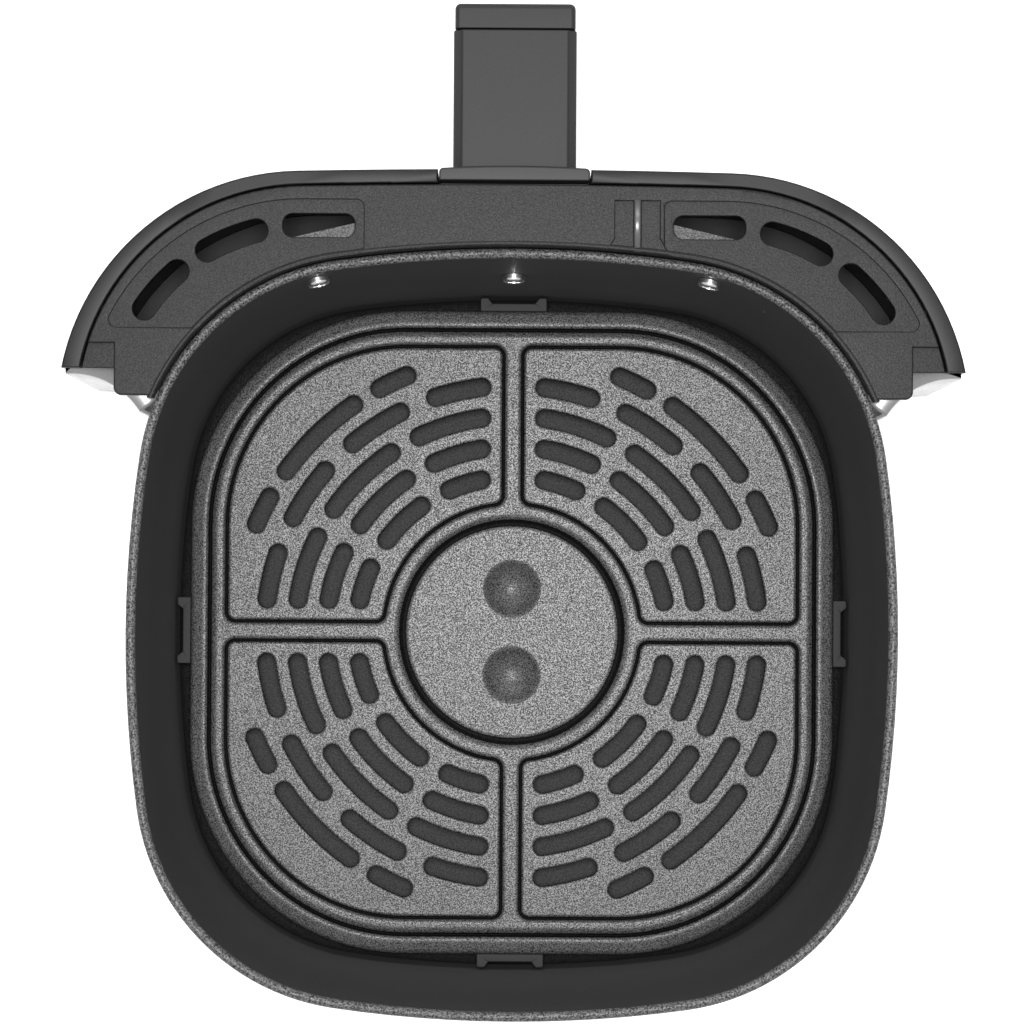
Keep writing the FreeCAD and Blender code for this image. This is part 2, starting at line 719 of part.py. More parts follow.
FRONT = (
    "(dims.crown_radius + dims.shoulder_forward"
    " - sqrt((dims.crown_radius - dims.shoulder_radius)^2 - dims.shoulder_across^2))"
)
OPEN_REAR = "dims.fascia_rear - dims.shoulder_radius / 4"
FRAME_INSET = "(dims.skin_inset + dims.skin_sheet + dims.frame_clearance)"
SEAM_INSET = "(dims.band_width + dims.seam_gap)"
COVER_UNDER = f"({FASCIA_TOP} - dims.cover_sheet)"
LEDGE_TOP = f"({COVER_UNDER} - dims.ledge_drop)"
BAND_UNDER = f"({FASCIA_TOP} - dims.band_height)"
BRACKET_TOP = f"({LEDGE_TOP} - dims.ledge_sheet)"
MOUNT_FACE = f"({FRONT} + dims.mount_proud)"
MOUNT_BOTTOM = f"({FASCIA_TOP} - dims.mount_height)"
HANDLE_TOP = f"({FASCIA_TOP} - dims.handle_drop)"
BOLT_HEIGHT = f"({FASCIA_TOP} - dims.bolt_drop)"
WINDOW_HALF = "(dims.mount_half + dims.seam_gap)"


def shoulder_point(inset, angle, side):
    """A place on the right (side 1) or left (side -1) shoulder, as a pair of expressions."""
    sign = "" if side > 0 else "-"
    across = f"{sign}(dims.shoulder_across + (dims.shoulder_radius - ({inset})) * sin({angle}))"
    forward = f"-(dims.shoulder_forward + (dims.shoulder_radius - ({inset})) * cos({angle}))"
    return across, forward


def cover_screw_places():
    """The four places where the top cover is screwed down on the frame's ledge."""
    front = f"-({FRONT} - dims.boss_inset)"
    near = [("dims.boss_across", front), ("-dims.boss_across", front)]
    return near + [shoulder_point("dims.boss_inset", "dims.side_boss_angle", s) for s in (1, -1)]


def post_places():
    """The four posts of the frame that the bottom cover is screwed to."""
    inset = f"{FRAME_INSET} + dims.frame_wall + dims.post_radius * 0.8"
    front = f"-({FRONT} - ({inset}))"
    near = [("dims.shoulder_across * 0.7", front), ("-dims.shoulder_across * 0.7", front)]
    return near + [shoulder_point(inset, "dims.side_boss_angle", side) for side in (1, -1)]


def make_front_frame():
    body = new_body("front_frame")
    outline = new_sketch(body, "outline", lift="dims.fascia_bottom")
    fascia_outline(outline, "0", "dims.fascia_rear")
    pad(body, outline, f"{FASCIA_TOP} - dims.fascia_bottom", "block")
    well = new_sketch(body, "cover_well", lift=FASCIA_TOP)
    fascia_outline(well, "dims.band_width", OPEN_REAR, "dims.band_skew")
    pocket(body, well, f"{FASCIA_TOP} - {LEDGE_TOP}", "cover_well")
    inside = new_sketch(body, "inside", lift="dims.fascia_bottom")
    fascia_outline(inside, f"{FRAME_INSET} + dims.frame_wall", OPEN_REAR)
    under_ledge = f"{LEDGE_TOP} - dims.ledge_sheet - dims.fascia_bottom"
    pocket(body, inside, under_ledge, "inside", up=True)
    opening = new_sketch(body, "opening", lift=FASCIA_TOP)
    fascia_outline(opening, "dims.ledge_width", OPEN_REAR)
    pocket(body, opening, FASCIA_TOP, "opening")
    relief = new_sketch(body, "skin_relief", lift="dims.fascia_bottom")
    fascia_outline(relief, "-dims.frame_wall", "dims.fascia_rear - dims.frame_wall")
    fascia_outline(relief, FRAME_INSET, "dims.fascia_rear")
    pocket(body, relief, f"{BAND_UNDER} - dims.fascia_bottom", "skin_relief", up=True)
    window = new_sketch(body, "mount_window", "XZ_Plane")
    rectangle(
        window,
        f"-{WINDOW_HALF}",
        f"{MOUNT_BOTTOM} - dims.seam_gap",
        f"2 * {WINDOW_HALF}",
        FASCIA_TOP,
    )
    cut = pocket(body, window, f"{FRONT} * 2", "mount_window", midplane=True)
    top = size(FASCIA_TOP)
    round_edges(body, cut, lambda e: level(e, top), "dims.edge_round", "band_round")
    ledge_under = f"{LEDGE_TOP} - dims.ledge_sheet"
    ledge_back = new_sketch(body, "ledge_bridge", lift=ledge_under)
    rectangle(
        ledge_back,
        f"-{WINDOW_HALF} - dims.frame_wall",
        f"-({FRONT} - {SEAM_INSET} + dims.band_skew)",
        f"2 * ({WINDOW_HALF} + dims.frame_wall)",
        "dims.ledge_width - dims.band_width - dims.seam_gap - dims.band_skew",
    )
    pad(body, ledge_back, "dims.ledge_sheet", "ledge_bridge")
    holes = new_sketch(body, "ledge_holes", lift=LEDGE_TOP)
    for across, forward in cover_screw_places():
        circle(holes, across, forward, "dims.tapping_screw / 2 + 0.2")
    pocket(body, holes, "dims.ledge_sheet * 2", "ledge_holes")
    posts = new_sketch(body, "posts", lift="dims.fascia_bottom + dims.bottom_sheet")
    for across, forward in post_places():
        circle(posts, across, forward, "dims.post_radius")
    pad(body, posts, "dims.post_height", "posts")
    pilots = new_sketch(body, "post_pilots", lift="dims.fascia_bottom")
    for across, forward in post_places():
        circle(pilots, across, forward, "dims.tapping_screw / 2")
    pocket(body, pilots, "dims.post_height * 0.8", "post_pilots", up=True)
    return body


def make_front_skin():
    body = new_body("front_skin")
    outline = new_sketch(body, "outline", lift="dims.fascia_bottom")
    fascia_outline(outline, "dims.skin_inset", "dims.fascia_rear")
    height = f"{BAND_UNDER} - dims.frame_clearance - dims.fascia_bottom"
    pad(body, outline, height, "block")
    inside = new_sketch(body, "inside", lift="dims.fascia_bottom")
    fascia_outline(inside, "dims.skin_inset + dims.skin_sheet", OPEN_REAR)
    pocket(body, inside, FASCIA_TOP, "inside", up=True)
    window = new_sketch(body, "mount_window", "XZ_Plane")
    rectangle(
        window,
        f"-{WINDOW_HALF}",
        f"{MOUNT_BOTTOM} - dims.seam_gap",
        f"2 * {WINDOW_HALF}",
        FASCIA_TOP,
    )
    pocket(body, window, f"{FRONT} * 2", "mount_window", midplane=True)
    return body


def make_top_cover():
    body = new_body("top_cover")
    outline = new_sketch(body, "outline", lift=COVER_UNDER)
    fascia_outline(outline, SEAM_INSET, "dims.cover_rear", "dims.band_skew")
    pad(body, outline, "dims.cover_sheet", "sheet")
    lip = new_sketch(body, "rim_lip", lift=COVER_UNDER)
    pan_outline(lip, "-dims.rim_gap - dims.lip_sheet")
    pad(body, lip, "dims.lip_drop", "rim_lip", down=True)
    mouth = new_sketch(body, "pan_mouth", lift=FASCIA_TOP)
    pan_outline(mouth, "-dims.rim_gap")
    pocket(body, mouth, "dims.pan_height", "pan_mouth")
    back = new_sketch(body, "rear_cut", lift=FASCIA_TOP)
    behind = "dims.cover_rear + dims.rim_half * 1.5"
    rectangle(back, "-dims.rim_half * 2", "-dims.cover_rear", "dims.rim_half * 4", behind)
    pocket(body, back, "dims.pan_height", "rear_cut")
    corners = new_sketch(body, "corner_cut", lift=FASCIA_TOP)
    for side in (1, -1):
        left = "dims.tab_outer" if side > 0 else "-dims.tab_outer - dims.shoulder_radius"
        rectangle(corners, left, "-dims.fascia_rear", "dims.shoulder_radius", "dims.shoulder_radius")
    cut = pocket(body, corners, "dims.pan_height", "corner_cut")
    tab = D("tab_outer")
    rear = -D("cover_rear")

    def tab_corner(edge):
        box = edge.BoundBox
        return upright(edge) and abs(abs(box.XMin) - tab) < 0.01 and abs(box.YMin - rear) < 0.01

    round_edges(body, cut, tab_corner, "dims.cover_sheet", "tab_corner")
    notch = new_sketch(body, "notch", lift=FASCIA_TOP)
    reach = "(dims.end_across - dims.tab_outer - dims.band_width / 2)"
    for side in (1, -1):
        left = "dims.tab_outer" if side > 0 else f"-dims.tab_outer - {reach}"
        rectangle(notch, left, "-dims.notch_front", reach, "dims.shoulder_radius")
    notched = pocket(body, notch, "dims.notch_drop", "notch")
    top = size(FASCIA_TOP)
    round_edges(body, notched, lambda e: level(e, top), "dims.edge_round", "top_round")
    recess = new_sketch(body, "vent_panels", lift=FASCIA_TOP)
    for side in (1, -1):
        vent_panel(recess, side)
    panel = pocket(body, recess, "dims.vent_panel_depth", "vent_panels")
    corner_places = vent_panel_corners()
    round_edges(
        body,
        panel,
        lambda e: upright(e) and near_any(e, corner_places),
        "dims.cover_sheet",
        "vent_panel_corners",
    )
    vents = new_sketch(body, "vents", lift=FASCIA_TOP)
    for side in (1, -1):
        vent_slots(vents, side)
    pocket(body, vents, "dims.pan_height", "vents")
    key = new_sketch(body, "switch_key", lift=FASCIA_TOP)
    for side in (1, -1):
        key_pocket(key, side)
    pocket(body, key, "dims.key_depth", "switch_key")
    bosses = new_sketch(body, "bosses", lift=LEDGE_TOP)
    for across, forward in cover_screw_places():
        circle(bosses, across, forward, "dims.boss_radius")
    pad(body, bosses, "dims.ledge_drop", "bosses")
    pilots = new_sketch(body, "boss_pilots", lift=LEDGE_TOP)
    for across, forward in cover_screw_places():
        circle(pilots, across, forward, "dims.tapping_screw / 2")
    pocket(body, pilots, "dims.ledge_drop", "boss_pilots", up=True)
    return body


VENT_SPANS = ((10.5, 33.7), (37.6, 59.8))
FIRST_VENT = ("51.5", "74.8")


def vent_slots(sketch, side):
    """Three slots in a row that keeps a constant distance from the fascia's outline."""
    centre = (side * D("shoulder_across"), -D("shoulder_forward"))
    radius = "(dims.shoulder_radius - dims.vent_inset)"
    for start, stop in VENT_SPANS:
        if side > 0:
            ring_slot(sketch, centre, radius, "dims.vent_width", -90 + start, -90 + stop)
        else:
            ring_slot(sketch, centre, radius, "dims.vent_width", -90 - stop, -90 - start)
    first, last = FIRST_VENT
    left = first if side > 0 else f"-{last}"
    bottom = f"-(dims.shoulder_forward + {radius} + dims.vent_width / 2)"
    slot_box(sketch, left, bottom, f"({last} - {first})", "dims.vent_width", "dims.vent_width * 0.42")


def slot_box(sketch, left, bottom, width, height, corner):
    """A rectangle with round corners."""
    x0, y0 = size(left), size(bottom)
    x1, y1 = x0 + size(width), y0 + size(height)
    r = size(corner)
    pieces = [
        line(sketch, (x0 + r, y0), (x1 - r, y0)),
        arc(sketch, (x1 - r, y0 + r), r, -math.pi / 2, 0),
        line(sketch, (x1, y0 + r), (x1, y1 - r)),
        arc(sketch, (x1 - r, y1 - r), r, 0, math.pi / 2),
        line(sketch, (x1 - r, y1), (x0 + r, y1)),
        arc(sketch, (x0 + r, y1 - r), r, math.pi / 2, math.pi),
        line(sketch, (x0, y1 - r), (x0, y0 + r)),
        arc(sketch, (x0 + r, y0 + r), r, math.pi, 1.5 * math.pi),
    ]
    chain(sketch, pieces, "Tangent")
    bind(sketch, corner, "Radius", pieces[1])
    return pieces


def vent_panel_points():
    """The right vent panel's geometry: its arcs' centres and radii and its corner points."""
    across, forward = D("shoulder_across"), D("shoulder_forward")
    outer = size("dims.shoulder_radius - dims.vent_panel_inset")
    rear = D("vent_panel_rear")
    inner_edge = D("vent_panel_across")
    border = size("-dims.rim_gap - dims.vent_panel_depth")
    reach = size("dims.rim_side_radius - dims.rim_half")
    gap = size("dims.rim_side_radius - dims.rim_corner_radius")
    middle = (math.sqrt(2 * gap**2 - reach**2) - reach) / 2
    corner = D("rim_corner_radius") - border
    side = D("rim_side_radius") - border
    return across, forward, outer, rear, inner_edge, reach, gap, middle, corner, side


def vent_panel(sketch, side):
    """The shallow panel round three vents, bounded by the shoulder and the pan's rim."""
    across, forward, outer, rear, edge, reach, gap, middle, corner, flank = vent_panel_points()
    front = -(forward + outer)
    outer_x = across + math.sqrt(outer**2 - (forward - rear) ** 2)
    inner_x = middle + math.sqrt(corner**2 - (rear - middle) ** 2)
    join = (flank * middle / gap, reach - flank * (middle + reach) / gap)
    edge_y = reach - math.sqrt(flank**2 - edge**2)
    down = -math.pi / 2
    stop = math.atan2(forward - rear, outer_x - across)
    turn = math.asin(middle / gap)
    start = math.asin(edge / flank)
    low = math.atan2(middle - rear, inner_x - middle)
    if side > 0:
        arcs = (
            ((across, -forward), outer, down, stop),
            ((middle, -middle), corner, down + turn, low),
            ((0, reach), flank, down + start, down + turn),
        )
    else:
        arcs = (
            ((-across, -forward), outer, -math.pi - stop, down),
            ((-middle, -middle), corner, -math.pi - low, down - turn),
            ((0, reach), flank, down - turn, down - start),
        )
    placed = [arc(sketch, *values) for values in arcs]
    first, last = (START, END) if side > 0 else (END, START)
    lines = [
        line(sketch, (side * edge, edge_y), (side * edge, front)),
        line(sketch, (side * edge, front), (side * across, front)),
        line(sketch, (side * outer_x, -rear), (side * inner_x, -rear)),
    ]
    relate(sketch, "Coincident", placed[2], first, lines[0], START)
    relate(sketch, "Coincident", lines[0], END, lines[1], START)
    relate(sketch, "Coincident", lines[1], END, placed[0], first)
    relate(sketch, "Coincident", placed[0], last, lines[2], START)
    relate(sketch, "Coincident", lines[2], END, placed[1], last)
    relate(sketch, "Coincident", placed[1], first, placed[2], last)
    bind(sketch, "dims.shoulder_radius - dims.vent_panel_inset", "Radius", placed[0])


def vent_panel_corners():
    """The corner points of both vent panels that are rounded."""
    across, forward, outer, rear, edge, reach, gap, middle, corner, flank = vent_panel_points()
    outer_x = across + math.sqrt(outer**2 - (forward - rear) ** 2)
    edge_y = reach - math.sqrt(flank**2 - edge**2)
    places = ((edge, edge_y), (edge, -(forward + outer)), (outer_x, -rear))
    return [(side * x, y) for x, y in places for side in (1, -1)]


def near_any(edge, places):
    """True where an upright edge stands at one of the places."""
    x, y = edge.BoundBox.Center.x, edge.BoundBox.Center.y
    return any(math.hypot(x - px, y - py) < 0.05 for px, py in places)


def key_pocket(sketch, side):
    """Half of the recess round the rib that presses the drawer switch; it flares at the pan."""
    edge = f"(dims.key_width / 2)"
    rib = "(dims.key_rib / 2)"
    middle = "-dims.key_across"
    flare = "dims.key_depth * 1.7"
    mouth = "dims.rim_half - dims.bead_radius"
    bend = "dims.rim_half + dims.bead_radius * 1.9"
    sign = "+" if side > 0 else "-"
    corners = [
        (f"{middle} {sign} {rib}", "-dims.key_front"),
        (f"{middle} {sign} {edge}", "-dims.key_front"),
        (f"{middle} {sign} {edge}", f"-({bend})"),
        (f"{middle} {sign} ({edge} + {flare})", f"-({mouth})"),
        (f"{middle} {sign} ({edge} + {flare})", "-dims.key_front * 0.8"),
        (f"{middle} {sign} {rib}", "-dims.key_front * 0.8"),
    ]
    polygon(sketch, corners if side > 0 else corners[::-1])


def make_bottom_cover():
    body = new_body("bottom_cover")
    outline = new_sketch(body, "outline", lift="dims.fascia_bottom")
    fascia_outline(outline, f"{FRAME_INSET} + dims.frame_wall + dims.frame_clearance", "dims.fascia_rear")
    pad(body, outline, "dims.bottom_sheet", "sheet")
    mouth = new_sketch(body, "pan_mouth", lift="dims.fascia_bottom")
    pan_outline(mouth, f"{WALL_INSET} - dims.pan_clearance")
    pocket(body, mouth, "dims.pan_height", "pan_mouth", up=True)
    holes = new_sketch(body, "holes", lift="dims.fascia_bottom")
    for across, forward in post_places():
        circle(holes, across, forward, "dims.tapping_screw / 2 + 0.2")
    pocket(body, holes, "dims.pan_height", "holes", up=True)
    return body


def make_end_plate(name, side):
    """A polished plate that closes the fascia's end and curls in towards the pan."""
    body = new_body(name)
    plan = new_sketch(body, "plan", lift="dims.fascia_bottom + dims.bottom_sheet + dims.fit")
    across, back = D("end_across"), D("end_back")
    radius, sheet_thick = D("end_radius"), D("end_sheet")
    turn = math.radians(D("end_turn"))
    centre = (side * across, radius - back)
    down = -math.pi / 2
    start, stop = (down - turn, down) if side > 0 else (down, down + turn)
    bent, straight = (START, END) if side > 0 else (END, START)
    outer = arc(plan, centre, radius + sheet_thick, start, stop)
    inner = arc(plan, centre, radius, start, stop)
    edge = size("dims.shoulder_across + dims.shoulder_radius * 0.97")
    rear = -back
    lines = [
        line(plan, (side * across, rear - sheet_thick), (side * edge, rear - sheet_thick)),
        line(plan, (side * edge, rear - sheet_thick), (side * edge, rear)),
        line(plan, (side * edge, rear), (side * across, rear)),
    ]
    tip = [
        (centre[0] - side * r * math.sin(turn), centre[1] - r * math.cos(turn))
        for r in (radius, radius + sheet_thick)
    ]
    closing = line(plan, *tip)
    relate(plan, "Coincident", outer, straight, lines[0], START)
    relate(plan, "Coincident", lines[0], END, lines[1], START)
    relate(plan, "Coincident", lines[1], END, lines[2], START)
    relate(plan, "Coincident", lines[2], END, inner, straight)
    relate(plan, "Coincident", inner, bent, closing, START)
    relate(plan, "Coincident", closing, END, outer, bent)
    bind(plan, "dims.end_radius", "Radius", inner)
    bind(plan, "dims.end_radius + dims.end_sheet", "Radius", outer)
    height = f"{BAND_UNDER} - dims.fascia_bottom - dims.bottom_sheet - dims.fit"
    pad(body, plan, height, "sheet")
    return body


def make_heat_shield():
    body = new_body("heat_shield")
    plan = new_sketch(body, "plan", lift="dims.fascia_bottom + dims.bottom_sheet")
    pan_outline(plan, "-dims.shield_gap")
    pan_outline(plan, "-dims.shield_gap - dims.shield_sheet")
    pad(body, plan, "dims.shield_top - dims.fascia_bottom - dims.bottom_sheet", "sheet")
    rear = new_sketch(body, "rear_cut", lift="dims.shield_top")
    behind = "dims.shield_end + dims.rim_half * 1.5"
    rectangle(rear, "-dims.rim_half * 2", "-dims.shield_end", "dims.rim_half * 4", behind)
    pocket(body, rear, "dims.pan_height", "rear_cut")
    return body


# --- handle -------------------------------------------------------------------------------------

CORE_TOP = f"({HANDLE_TOP} - dims.core_drop)"
FLANGE_BACK = "(dims.bracket_nose + dims.frame_clearance)"
FLANGE_FACE = f"({FLANGE_BACK} + dims.core_sheet)"
MOUNT_BACK = f"({FLANGE_FACE} + dims.frame_clearance)"
TIP = f"({MOUNT_FACE} + dims.handle_reach)"
SEAM = f"({TIP} - dims.grip_cover)"
GRIP_BACK = f"({TIP} - dims.grip_thick)"
ARM_UNDER = f"({HANDLE_TOP} - dims.arm_height)"
GRIP_SCREWS = ("dims.grip_screw_low", "dims.grip_screw_high")


def crowned_plan(sketch, half, face, back, radius):
    """A plan with a crowned front edge: a tongue from y = -back out to y = -face."""
    width, front, rear, bow = size(half), size(face), size(back), size(radius)
    turn = math.asin(width / bow)
    corner = -(front - bow + bow * math.cos(turn))
    down = -math.pi / 2
    crown = arc(sketch, (0, bow - front), bow, down - turn, down + turn)
    right = line(sketch, (width, corner), (width, -rear))
    across = line(sketch, (width, -rear), (-width, -rear))
    left = line(sketch, (-width, -rear), (-width, corner))
    chain(sketch, [crown, right, across, left])
    relate(sketch, "Vertical", right)
    relate(sketch, "Horizontal", across)
    relate(sketch, "Vertical", left)
    bind(sketch, radius, "Radius", crown)
    relate(sketch, "PointOnObject", crown, CENTRE, AXIS_Y)
    bind(sketch, half, "DistanceX", AXIS_X, START, right, START)
    bind(sketch, back, "DistanceY", right, END, AXIS_X, START)
    bind(sketch, half, "DistanceX", left, END, AXIS_X, START)
    bind(sketch, f"{radius} - ({face})", "DistanceY", AXIS_X, START, crown, CENTRE)


def make_handle_mount():
    body = new_body("handle_mount")
    plan = new_sketch(body, "plan", lift=MOUNT_BOTTOM)
    crowned_plan(plan, "dims.mount_half", MOUNT_FACE, MOUNT_BACK, "dims.mount_crown_radius")
    block = pad(body, plan, f"{FASCIA_TOP} - {MOUNT_BOTTOM}", "block")
    top = size(FASCIA_TOP)
    front = -size(MOUNT_BACK) - 1
    softened = round_edges(
        body, block, lambda e: upright(e) and e.BoundBox.YMax < front, "dims.mount_proud * 1.4", "corners"
    )
    round_edges(body, softened, lambda e: level(e, top), "dims.edge_round", "top_round")
    back = new_sketch(body, "cover_relief", lift=FASCIA_TOP)
    step = f"({FRONT} - dims.band_width + dims.band_skew)"
    rectangle(back, "-dims.mount_half * 1.5", f"-{step}", "dims.mount_half * 3", step)
    pocket(
        body,
        back,
        f"{FASCIA_TOP} - {LEDGE_TOP} + dims.ledge_sheet + dims.fit",
        "cover_relief",
    )
    slot = new_sketch(body, "core_slot", "XZ_Plane")
    core_slot(slot)
    pocket(body, slot, f"{TIP} * 2", "core_slot", midplane=True)
    for side in (1, -1):
        bolt_hole(body, side, "dims.bolt / 2", f"{FLANGE_BACK} + dims.bolt_length")
    return body


def core_slot(sketch):
    """The opening that the steel core passes through, with room round it."""
    rectangle(
        sketch,
        "-dims.core_width / 2 - dims.fit",
        f"{CORE_TOP} - dims.core_sheet - dims.fit",
        "dims.core_width + 2 * dims.fit",
        "dims.core_sheet + 2 * dims.fit",
    )


def bolt_hole(body, side, radius, depth):
    """A round hole for a handle bolt, as deep as y = -depth."""
    hole = body.newObject("PartDesign::SubtractiveCylinder", f"{body.Name}_bolt_hole_{2 + side}")
    hole.setExpression("Radius", radius)
    hole.setExpression("Height", depth)
    place = Vector(side * D("bolt_across"), 0, size(BOLT_HEIGHT))
    hole.Placement = Placement(place, Rotation(Vector(1, 0, 0), 90))
    doc.recompute()


def make_handle_arm():
    body = new_body("handle_arm")
    rear = f"({MOUNT_FACE} - dims.mount_proud)"
    profile = new_sketch(body, "profile", "YZ_Plane")
    polygon(
        profile,
        [
            (f"-{rear}", HANDLE_TOP),
            (f"-{SEAM}", HANDLE_TOP),
            (f"-{SEAM}", "dims.grip_bottom"),
            (f"-{GRIP_BACK}", "dims.grip_bottom"),
            (f"-{GRIP_BACK}", ARM_UNDER),
            (f"-{rear}", ARM_UNDER),
        ],
    )
    block = pad(body, profile, "dims.handle_width", "block", midplane=True)
    under = size(ARM_UNDER)
    back = -size(GRIP_BACK)

    def inner_bend(edge):
        box = edge.BoundBox
        return level(edge, under) and abs(box.YMin - back) < 0.01 and abs(box.YMax - back) < 0.01

    bent = round_edges(body, block, inner_bend, "dims.handle_bevel * 3", "inner_bend")
    half = D("handle_width") / 2
    top = size(HANDLE_TOP)

    def long_top(edge):
        return level(edge, top) and abs(abs(edge.BoundBox.Center.x) - half) < 0.01

    bevelled = round_edges(body, bent, long_top, "dims.handle_bevel", "bevel", "Chamfer")
    seam_y = -size(SEAM)
    rear_y = -size(rear)

    def long_under(edge):
        box = edge.BoundBox
        on_side = abs(box.XMax - box.XMin) < 0.01 and abs(abs(box.Center.x) - half) < 0.01
        on_seam = abs(box.YMax - seam_y) < 0.01
        on_rear = abs(box.YMin - rear_y) < 0.01
        return on_side and not on_seam and not on_rear and box.ZMax < top - 2 * D("handle_bevel")

    round_edges(body, bevelled, long_under, "dims.handle_bevel", "under_round")
    cavity = new_sketch(body, "cavity", "YZ_Plane")
    wall = "dims.handle_wall"
    polygon(
        cavity,
        [
            (f"-({rear} + dims.mount_proud + {wall})", f"{HANDLE_TOP} - {wall}"),
            (f"-({SEAM} + {wall})", f"{HANDLE_TOP} - {wall}"),
            (f"-({SEAM} + {wall})", f"dims.grip_bottom + {wall}"),
            (f"-({GRIP_BACK} + {wall})", f"dims.grip_bottom + {wall}"),
            (f"-({GRIP_BACK} + {wall})", f"{ARM_UNDER} + {wall}"),
            (f"-({rear} + dims.mount_proud + {wall})", f"{ARM_UNDER} + {wall}"),
        ],
    )
    pocket(body, cavity, f"dims.handle_width - 2 * {wall}", "cavity", midplane=True)
    seat = new_sketch(body, "mount_seat", lift=HANDLE_TOP)
    crowned_plan(
        seat,
        "dims.handle_width",
        f"{MOUNT_FACE} + dims.frame_clearance",
        f"{MOUNT_FACE} / 2",
        "dims.mount_crown_radius",
    )
    pocket(body, seat, "dims.pan_height", "mount_seat")
    slot = new_sketch(body, "core_slot", "XZ_Plane")
    core_slot(slot)
    reach = f"2 * ({MOUNT_FACE} + dims.handle_wall * 2)"
    pocket(body, slot, reach, "core_slot", midplane=True)
    grip_screw_holes(body, "dims.tapping_screw / 2 + 0.2", GRIP_BACK, "dims.handle_wall * 3")
    grip_screw_holes(body, "dims.tapping_head / 2 + 0.2", GRIP_BACK, "dims.tapping_head_height")
    return body


def grip_screw_holes(body, radius, face, depth):
    """Holes for the grip's screws, cut forwards from y = -face."""
    for height in GRIP_SCREWS:
        count = sum(1 for o in body.Group if o.isDerivedFrom("PartDesign::SubtractiveCylinder"))
        hole = body.newObject("PartDesign::SubtractiveCylinder", f"{body.Name}_hole_{count}")
        hole.setExpression("Radius", radius)
        hole.setExpression("Height", depth)
        place = Vector(0, -size(face), size(height))
        hole.Placement = Placement(place, Rotation(Vector(1, 0, 0), 90))
        doc.recompute()


def make_handle_front_cover():
    body = new_body("handle_front_cover")
    plan = new_sketch(body, "plan", lift="dims.grip_bottom")
    start = f"-({TIP})"
    depth = "dims.grip_cover - dims.seam_gap"
    narrow = "(dims.handle_width - 2 * dims.seam_gap)"
    rectangle(plan, f"-{narrow} / 2", start, narrow, depth)
    block = pad(body, plan, f"{HANDLE_TOP} - dims.grip_bottom", "block")
    tip = -size(TIP)
    softened = round_edges(
        body, block, lambda e: e.BoundBox.YMax < tip + 0.01, "dims.handle_bevel * 0.7", "front_round"
    )
    top = size(HANDLE_TOP)
    half = size(narrow) / 2

    def long_top(edge):
        return level(edge, top) and abs(abs(edge.BoundBox.Center.x) - half) < 0.01

    round_edges(body, softened, long_top, "dims.handle_bevel * 0.6", "top_round")
    hollow = new_sketch(body, "hollow", "XZ_Plane", lift=f"{TIP} - dims.handle_wall")
    wall = "dims.handle_wall"
    rectangle(
        hollow,
        f"-{narrow} / 2 + {wall}",
        f"dims.grip_bottom + {wall}",
        f"{narrow} - 2 * {wall}",
        f"{HANDLE_TOP} - dims.grip_bottom - 2 * {wall}",
    )
    pocket(body, hollow, "dims.grip_cover", "hollow")
    bosses = new_sketch(body, "bosses", "XZ_Plane", lift=f"{SEAM} + dims.seam_gap")
    for height in GRIP_SCREWS:
        circle(bosses, "0", height, "dims.boss_radius")
    pad(body, bosses, "dims.grip_cover - dims.handle_wall - dims.seam_gap", "bosses")
    pilots = new_sketch(body, "pilots", "XZ_Plane", lift=f"{SEAM} + dims.seam_gap")
    for height in GRIP_SCREWS:
        circle(pilots, "0", height, "dims.tapping_screw / 2")
    pocket(body, pilots, "dims.grip_cover - dims.handle_wall - dims.seam_gap", "pilots", up=True)
    return body


def make_handle_core():
    body = new_body("handle_core")
    profile = new_sketch(body, "profile", "YZ_Plane")
    inner = f"({SEAM} - dims.core_sheet - dims.fit)"
    outer = f"({SEAM} - dims.fit)"
    polygon(
        profile,
        [
            (f"-{FLANGE_BACK}", CORE_TOP),
            (f"-{outer}", CORE_TOP),
            (f"-{outer}", "dims.core_end"),
            (f"-{inner}", "dims.core_end"),
            (f"-{inner}", f"{CORE_TOP} - dims.core_sheet"),
            (f"-{FLANGE_BACK}", f"{CORE_TOP} - dims.core_sheet"),
        ],
    )
    pad(body, profile, "dims.core_width", "strip", midplane=True)
    flange = new_sketch(body, "flange", "XZ_Plane", lift=FLANGE_BACK)
    rectangle(
        flange,
        "-dims.flange_half",
        f"{CORE_TOP} - dims.flange_drop",
        "2 * dims.flange_half",
        "dims.flange_drop",
    )
    pad(body, flange, "dims.core_sheet", "flange")
    for side in (1, -1):
        bolt_hole(body, side, "dims.bolt / 2 + 0.2", FLANGE_FACE)
    grip_screw_holes(body, "dims.tapping_screw / 2 + 0.3", inner, "dims.core_sheet * 2")
    return body


# --- bracket and fasteners ----------------------------------------------------------------------


